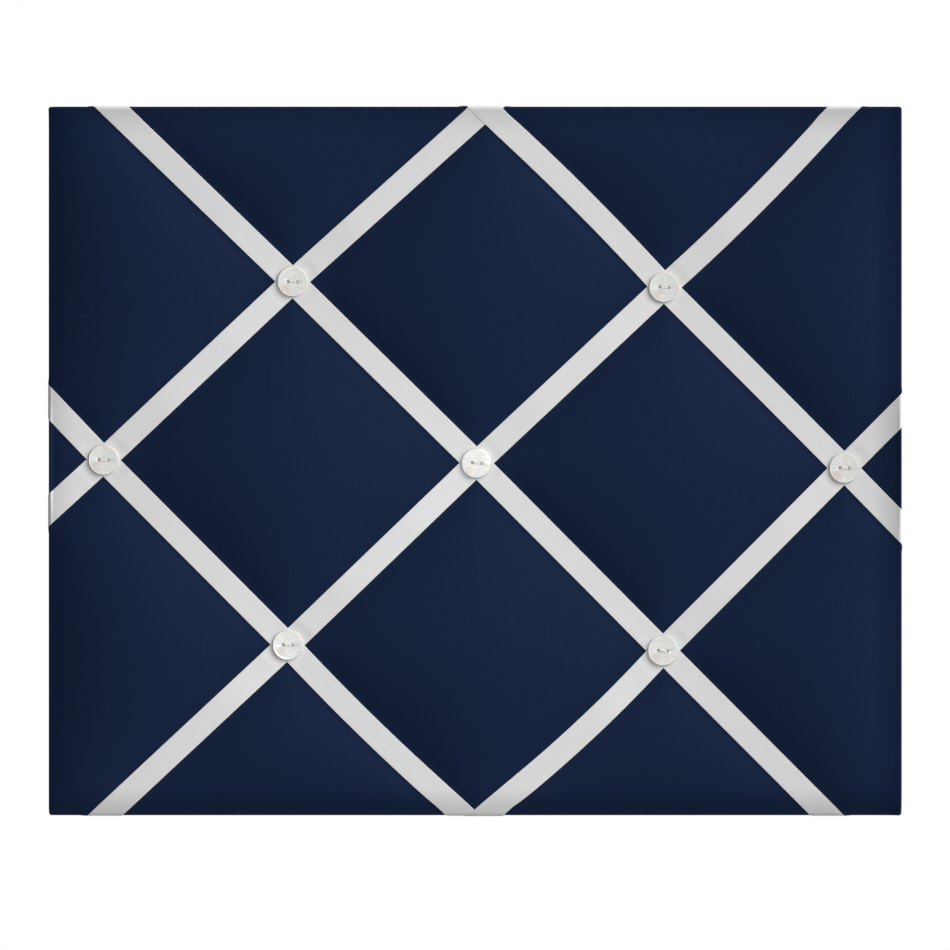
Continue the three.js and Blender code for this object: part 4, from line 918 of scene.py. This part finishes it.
def buttonShape():
    form, r = buttonForm, buttonForm["radius"]
    top, dish = -form["thickness"], form["dish"]
    profile = [(0, 0), (0.5 * r, 0), (0.8 * r, 0)]
    edge, half = form["edge"], form["thickness"] / 2
    for k in range(11):  # round outer edge
        angle = math.radians(-50 + 14 * k)
        profile.append((r - edge + edge * math.cos(angle), -half - half * math.sin(angle)))
    for k in range(1, 9):  # from the rim down into the dish
        profile.append((r - edge - k / 8 * form["rim"], top + dish * easeStep(k / 8)))
    profile += [(0.35 * r, top + 1.05 * dish), (0.15 * r, top + 1.08 * dish), (0, top + 1.08 * dish)]
    shape = lathe("button_shape", profile, 72)
    cutters, hole, (start, stop) = [], form["holeRadius"], form["drill"]
    for side in (-1, 1):
        drill = lathe("drill", [(0, start), (hole, start), (hole, stop), (0, stop)], 24)
        drill.data.transform(Matrix.Translation((side * form["holeSpacing"] / 2, 0, 0)))
        cutters.append(drill)
    return cutWith(shape, cutters, form["holeSoft"])


buttonSpots = [(p[0], buttonForm["backDepth"], p[1]) for p in buttonAt.values()]
buttons = setShape("pearl_buttons", buttonShape(), buttonSpots, (0, buttonForm["turn"], 0), pearlButton())
backGap = buttonForm["backDepth"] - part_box("button_centre")[1].y
print("button backs, mm from the CAD's:", round(backGap / mm, 2))
fitPiece(buttons, "board", "pearl_button", *["button_" + n for n in buttonNames])


# thread: three strands across each button, drawn through to the back of the board

def whiteThread():
    # bonded polyester upholstery thread: three plies twisted, off-white with a slight shine
    return mottled("white_thread", 0.3 * mm, ("#e8e4dd", "#f4f1ec"), {"Detail": 2.0}, Roughness=0.6)[0]


threadForm = {
    "radius": 0.24 * mm,
    "strands": 3,
    "spread": 0.36 * mm,
    "plyTurn": 1.6 * mm,      # run of one full twist
    "sink": 0.25,             # of the radius: how far the middle of the bridge is drawn into the face
    "arch": 0.05 * mm,
    "tail": 14 * mm,
    "shortTail": 2 * mm,
    "behind": 0.45 * mm,      # in front of the rear of the CAD's thread
}


def threadPaths():
    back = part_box("button_thread_centre")[1].y - threadForm["behind"]
    dish = buttonForm["backDepth"] - buttonForm["thickness"] + buttonForm["dish"]
    half, radius, arch = buttonForm["holeSpacing"] / 2, threadForm["radius"], threadForm["arch"]
    bridge, turn = dish + threadForm["sink"] * radius, buttonForm["turn"]
    points, edges = [], []
    for spot in buttonAt.values():
        for strand in range(threadForm["strands"]):
            offset = (strand - 1) * threadForm["spread"]
            end = threadForm["tail"] if strand == 1 else threadForm["shortTail"]
            # behind the board, up through the hole, over its brim and across the face
            side = [(half, back, offset - end), (half, back, offset - 0.8 * mm),
                    (half, back - 0.25 * mm, offset - 0.25 * mm), (half, back - 0.9 * mm, 0.6 * offset)]
            side += [(half, back + (dish - back) * s, 0.6 * offset) for s in (0.3, 0.6, 0.9)]
            side += [(half - 0.1 * mm, dish + 0.5 * mm, 0.6 * offset),
                     (half - 0.3 * mm, dish + 0.15 * mm, 0.7 * offset),
                     (half - 0.7 * mm, dish + 0.3 * radius, 0.85 * offset)]
            side += [(half * (1 - s), bridge - arch * math.sin(s * math.pi / 2), offset)
                     for s in (0.55, 0.7, 0.85)]
            run = side + [(0, bridge - arch, offset)] + [(-x, y, z) for x, y, z in side[::-1]]
            first = len(points)
            for x, y, z in run:
                points.append((spot[0] + x * math.cos(turn) + z * math.sin(turn), y,
                               spot[1] - x * math.sin(turn) + z * math.cos(turn)))
            edges += [(first + k, first + k + 1) for k in range(len(run) - 1)]
    return points, edges


threads = growPiece("button_threads", *threadPaths(), wireAlong, Radius=threadForm["radius"], Lobes=3,
                    Lobe_Depth=0.7, Twist=2 * math.pi / threadForm["plyTurn"], Finish=whiteThread())
fitPiece(threads, "board", "white_thread", *["button_thread_" + n for n in buttonNames])


# backing: a felt sheet that hides the staples

def blackFelt():
    # pressed wool-mix felt: matt near-black, short fibres lying every way
    material, tree, shader = startMaterial("black_felt", Roughness=0.95, Specular_IOR_Level=0.1,
                                           Sheen_Weight=0.25, Sheen_Roughness=0.6)
    place = addNode(tree, "ShaderNodeTexCoord")
    fibre = addNode(tree, "ShaderNodeTexNoise", {"Vector": place.outputs["Object"], "Scale": 1 / (0.8 * mm),
                    "Detail": 4.0, "Distortion": 1.5})
    patch = addNode(tree, "ShaderNodeTexNoise", {"Vector": place.outputs["Object"], "Scale": 1 / (25 * mm)})
    mixed = addNode(tree, "ShaderNodeMix", {"Factor": 0.3, 2: fibre.outputs["Fac"],
                    3: patch.outputs["Fac"]})
    tone = addNode(tree, "ShaderNodeValToRGB", {"Fac": mixed.outputs[0]},
                   [(0.35, "#161617"), (0.65, "#262628")])
    bump = addNode(tree, "ShaderNodeBump", {"Strength": 0.5, "Distance": 0.2 * mm,
                   "Height": fibre.outputs["Fac"]})
    setInputs(tree, shader, {"Base Color": tone.outputs["Color"], "Normal": bump.outputs[0]})
    return material


feltForm = {
    "corner": 6 * mm,
    "leastCorner": 1 * mm,
    "cornerSteps": 10,
    "softEdge": 0.35 * mm,
    "edgeDrop": 1.25 * mm,    # its edge is pressed down towards the hem
    "edgeRun": 13 * mm,
    "insets": [0, 1.2, 2.5, 4, 6, 8.5, 11, 13],
}


def feltRing(high, inset):
    corner, steps = max(feltForm["corner"] - inset, feltForm["leastCorner"]), feltForm["cornerSteps"]
    ring = []
    for sx, sz, start in ((1, 1, 0), (-1, 1, 90), (-1, -1, 180), (1, -1, 270)):
        for k in range(steps + 1):
            angle = math.radians(start + 90 * k / steps)
            ring.append((sx * (high.x - inset - corner) + corner * math.cos(angle),
                         sz * (high.z - inset - corner) + corner * math.sin(angle)))
    return ring


def feltBacking():
    low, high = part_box("backing_sheet")
    points, count = [], 4 * (feltForm["cornerSteps"] + 1)
    levels = [(low.y, inset * mm) for inset in feltForm["insets"][::-1]]
    levels += [(high.y, inset * mm) for inset in feltForm["insets"]]
    for y, inset in levels:
        drop = feltForm["edgeDrop"] * (1 - inset / feltForm["edgeRun"]) ** 2
        points += [(x, y - drop, z) for x, z in feltRing(high, inset)]
    faces = tubeFaces(count, len(levels))
    faces += [tuple(range(count)), tuple(len(points) - 1 - k for k in range(count))]
    sheet = tidyMesh(makePiece("felt_backing", points, faces, blackFelt()))
    soften(sheet, feltForm["softEdge"], 3, 40)
    bakeModifiers(sheet)
    return tidyMesh(sheet, sharpAngle=35), (high.x - low.x, high.z - low.z)


felt, feltSize = feltBacking()
fitPiece(felt, "board", "black_felt", "backing_sheet")


# hangers: a folded strap, a ring of wire and a screw on each side

def zincSteel():
    # zinc-plated steel: cool grey, half-dull, a faint bluish mottle from the plating
    material, tree, shader = mottled("zinc_steel", 2.5 * mm, ("#a4a8ab", "#c2c6c8"), {"Detail": 4.0},
                                     Metallic=1.0)[:3]
    place = addNode(tree, "ShaderNodeTexCoord")
    scuff = addNode(tree, "ShaderNodeTexNoise", {"Vector": place.outputs["Object"], "Scale": 1 / (0.4 * mm),
                    "Detail": 2.0})
    dull = addNode(tree, "ShaderNodeMapRange", {"Value": scuff.outputs["Fac"], "To Min": 0.28,
                   "To Max": 0.46})
    setInputs(tree, shader, {"Roughness": dull.outputs[0]})
    return material


steel = zincSteel()
hangerForm = {
    "barrel": 2.2 * mm,       # outer radius of the strap's eye
    "eyeInset": 0.4 * mm,     # from there to the middle of the strip
    "strip": 0.76 * mm,       # thickness of the strap
    "layers": (0.7 * mm, 1.5 * mm),    # depths of its two layers
    "footRun": 0.9 * mm,      # over which the upper layer comes down from the eye
    "endHalf": 0.4 * mm,      # half its width at the very end
    "softEdge": 0.14 * mm,
    "wire": 1.1 * mm,         # radius of the ring's wire
    "ringCorner": 2 * mm,
    "ringHalf": 9.5 * mm,
    "ringStraight": 3.5 * mm,
    "split": 0.5 * mm,
    "headRadius": 3.2 * mm,
    "headUnder": 2.2 * mm,    # depth of the underside of the screw's head
    "headHeight": 1.8 * mm,
    "headEdge": 0.45 * mm,
    "headTaper": 0.2 * mm,
    "shank": 1.4 * mm,
    "shankRun": 0.5 * mm,     # what is drawn of it, under the head
    "recess": 0.9 * mm,
    "recessSoft": 0.1 * mm,
}
hangerSides = ("left", "right")


def barAt(side):
    strap = "hanger_strap_" + side
    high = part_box(strap)[1]
    return middleOf(strap)[0], high.y - hangerForm["barrel"], high.z - hangerForm["barrel"]


def strapPath(side):  # depth and height of the middle of the folded strip
    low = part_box("hanger_strap_" + side)[0]
    barY, barZ = barAt(side)[1:]
    back, front = hangerForm["layers"]
    radius = hangerForm["barrel"] - hangerForm["eyeInset"]
    stop = math.pi + math.asin((barY - front) / radius)
    path = [(back, low.z + (barZ - low.z) * s) for s in np.linspace(0.006, 0.96, 24)]
    path += [(barY + radius * math.sin(a), barZ + radius * math.cos(a))
             for a in np.linspace(math.pi * -0.5, stop - math.pi / 2, 22)]
    foot = path[-1][1] - hangerForm["footRun"]
    path += [(front, foot)]
    return path + [(front, foot + (low.z - foot) * s) for s in np.linspace(0.04, 0.994, 24)]


def foldedStrap(side):
    low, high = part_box("hanger_strap_" + side)
    middle, half = (low.x + high.x) / 2, (high.x - low.x) / 2
    columns, path = 13, strapPath(side)
    points = []
    for y, z in path:
        inset = max(0.0, half - (z - low.z))  # the free ends are round
        reach = math.sqrt(max(half ** 2 - inset ** 2, hangerForm["endHalf"] ** 2))
        points += [(middle + reach * (2 * c / (columns - 1) - 1), y, z) for c in range(columns)]
    strap = tidyMesh(makePiece("strap_" + side, points, gridFaces(columns, len(path)), steel))
    thick = strap.modifiers.new("thick", "SOLIDIFY")
    thick.thickness, thick.offset = hangerForm["strip"], 0.0
    soften(strap, hangerForm["softEdge"], 2, 50)
    bakeModifiers(strap)
    return tidyMesh(strap, sharpAngle=40)


def ringPath(side):
    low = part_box("hanger_ring_" + side)[0]
    x, y, z = barAt(side)
    corner, half, straight = hangerForm["ringCorner"], hangerForm["ringHalf"], hangerForm["ringStraight"]
    shoulder = corner + straight
    lean = math.asin((y - hangerForm["wire"] - low.y) / (shoulder + half))
    right = [(hangerForm["split"] / 2, 0)] + [(s * (half - corner), 0) for s in (0.35, 0.7)]
    right += [(half - corner + corner * math.sin(a), corner - corner * math.cos(a))
              for a in np.linspace(0, math.pi / 2, 9)]
    right += [(half * math.cos(a), shoulder + half * math.sin(a)) for a in np.linspace(0, math.pi / 2, 25)]
    flat = right + [(-u, v) for u, v in right[-2::-1]]
    points = [(x + u, y - v * math.sin(lean), z + v * math.cos(lean)) for u, v in flat]
    return points, [(k, k + 1) for k in range(len(points) - 1)]


def screwShape():
    form = hangerForm
    under, top, r = form["headUnder"], form["headUnder"] + form["headHeight"], form["headRadius"]
    shank, start, brow = form["shank"], under - form["shankRun"], under + form["headEdge"]
    profile = [(0, start), (shank, start), (shank, under), (r - form["headTaper"], under)]
    profile += [(r * math.cos(a), brow + (top - brow) * math.sin(a))
                for a in np.linspace(0, math.pi / 2, 10)]
    shape = lathe("screw_shape", profile, 48)
    cutters, across, deep = [], form["recess"] / 2, 2 * form["recess"]
    for wide, tall in ((deep, across), (across, deep)):
        corners = [(sx * wide, y, sz * tall) for y in (top - form["recess"], top + 1 * mm)
                   for sx, sz in ((-1, -1), (1, -1), (1, 1), (-1, 1))]
        faces = [(0, 1, 2, 3), (7, 6, 5, 4)] + [(k, k + 4, (k + 1) % 4 + 4, (k + 1) % 4) for k in range(4)]
        cutters.append(tidyMesh(makePiece("driver_slot", corners, faces, None)))
    return cutWith(shape, cutters, form["recessSoft"])


def hangerScrews():
    spots = [middleOf("hanger_screw_" + side) for side in hangerSides]
    return setShape("hanger_screws", screwShape(), [(x, 0, z) for x, z in spots], (0, 0, 0), steel)


for side in hangerSides:
    fitPiece(foldedStrap(side), "board", "zinc_steel", "hanger_strap_" + side)
    ring = growPiece("ring_wire_" + side, *ringPath(side), wireAlong, Radius=hangerForm["wire"], Lobes=12,
                     Lobe_Depth=1.0, Twist=0.0, Finish=steel)
    fitPiece(ring, "ring_" + side, "zinc_steel", "hanger_ring_" + side)
fitPiece(hangerScrews(), "board", "zinc_steel", *["hanger_screw_" + side for side in hangerSides])


# core and staples keep their CAD shape and get their finish here

def rawFibreboard():
    # medium-density fibreboard: matt tan, fine dark flecks
    return mottled("fibreboard", 1.2 * mm, ("#8f6f49", "#b08e63"), {"Detail": 5.0}, Roughness=0.85)[0]


def finishNodes(material, names):
    for name in names:
        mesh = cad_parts[name].data
        mesh.materials.clear()
        mesh.materials.append(material)


finishNodes(rawFibreboard(), ["core_board"])
finishNodes(steel, [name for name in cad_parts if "staple" in name])
print("core and staples finished")
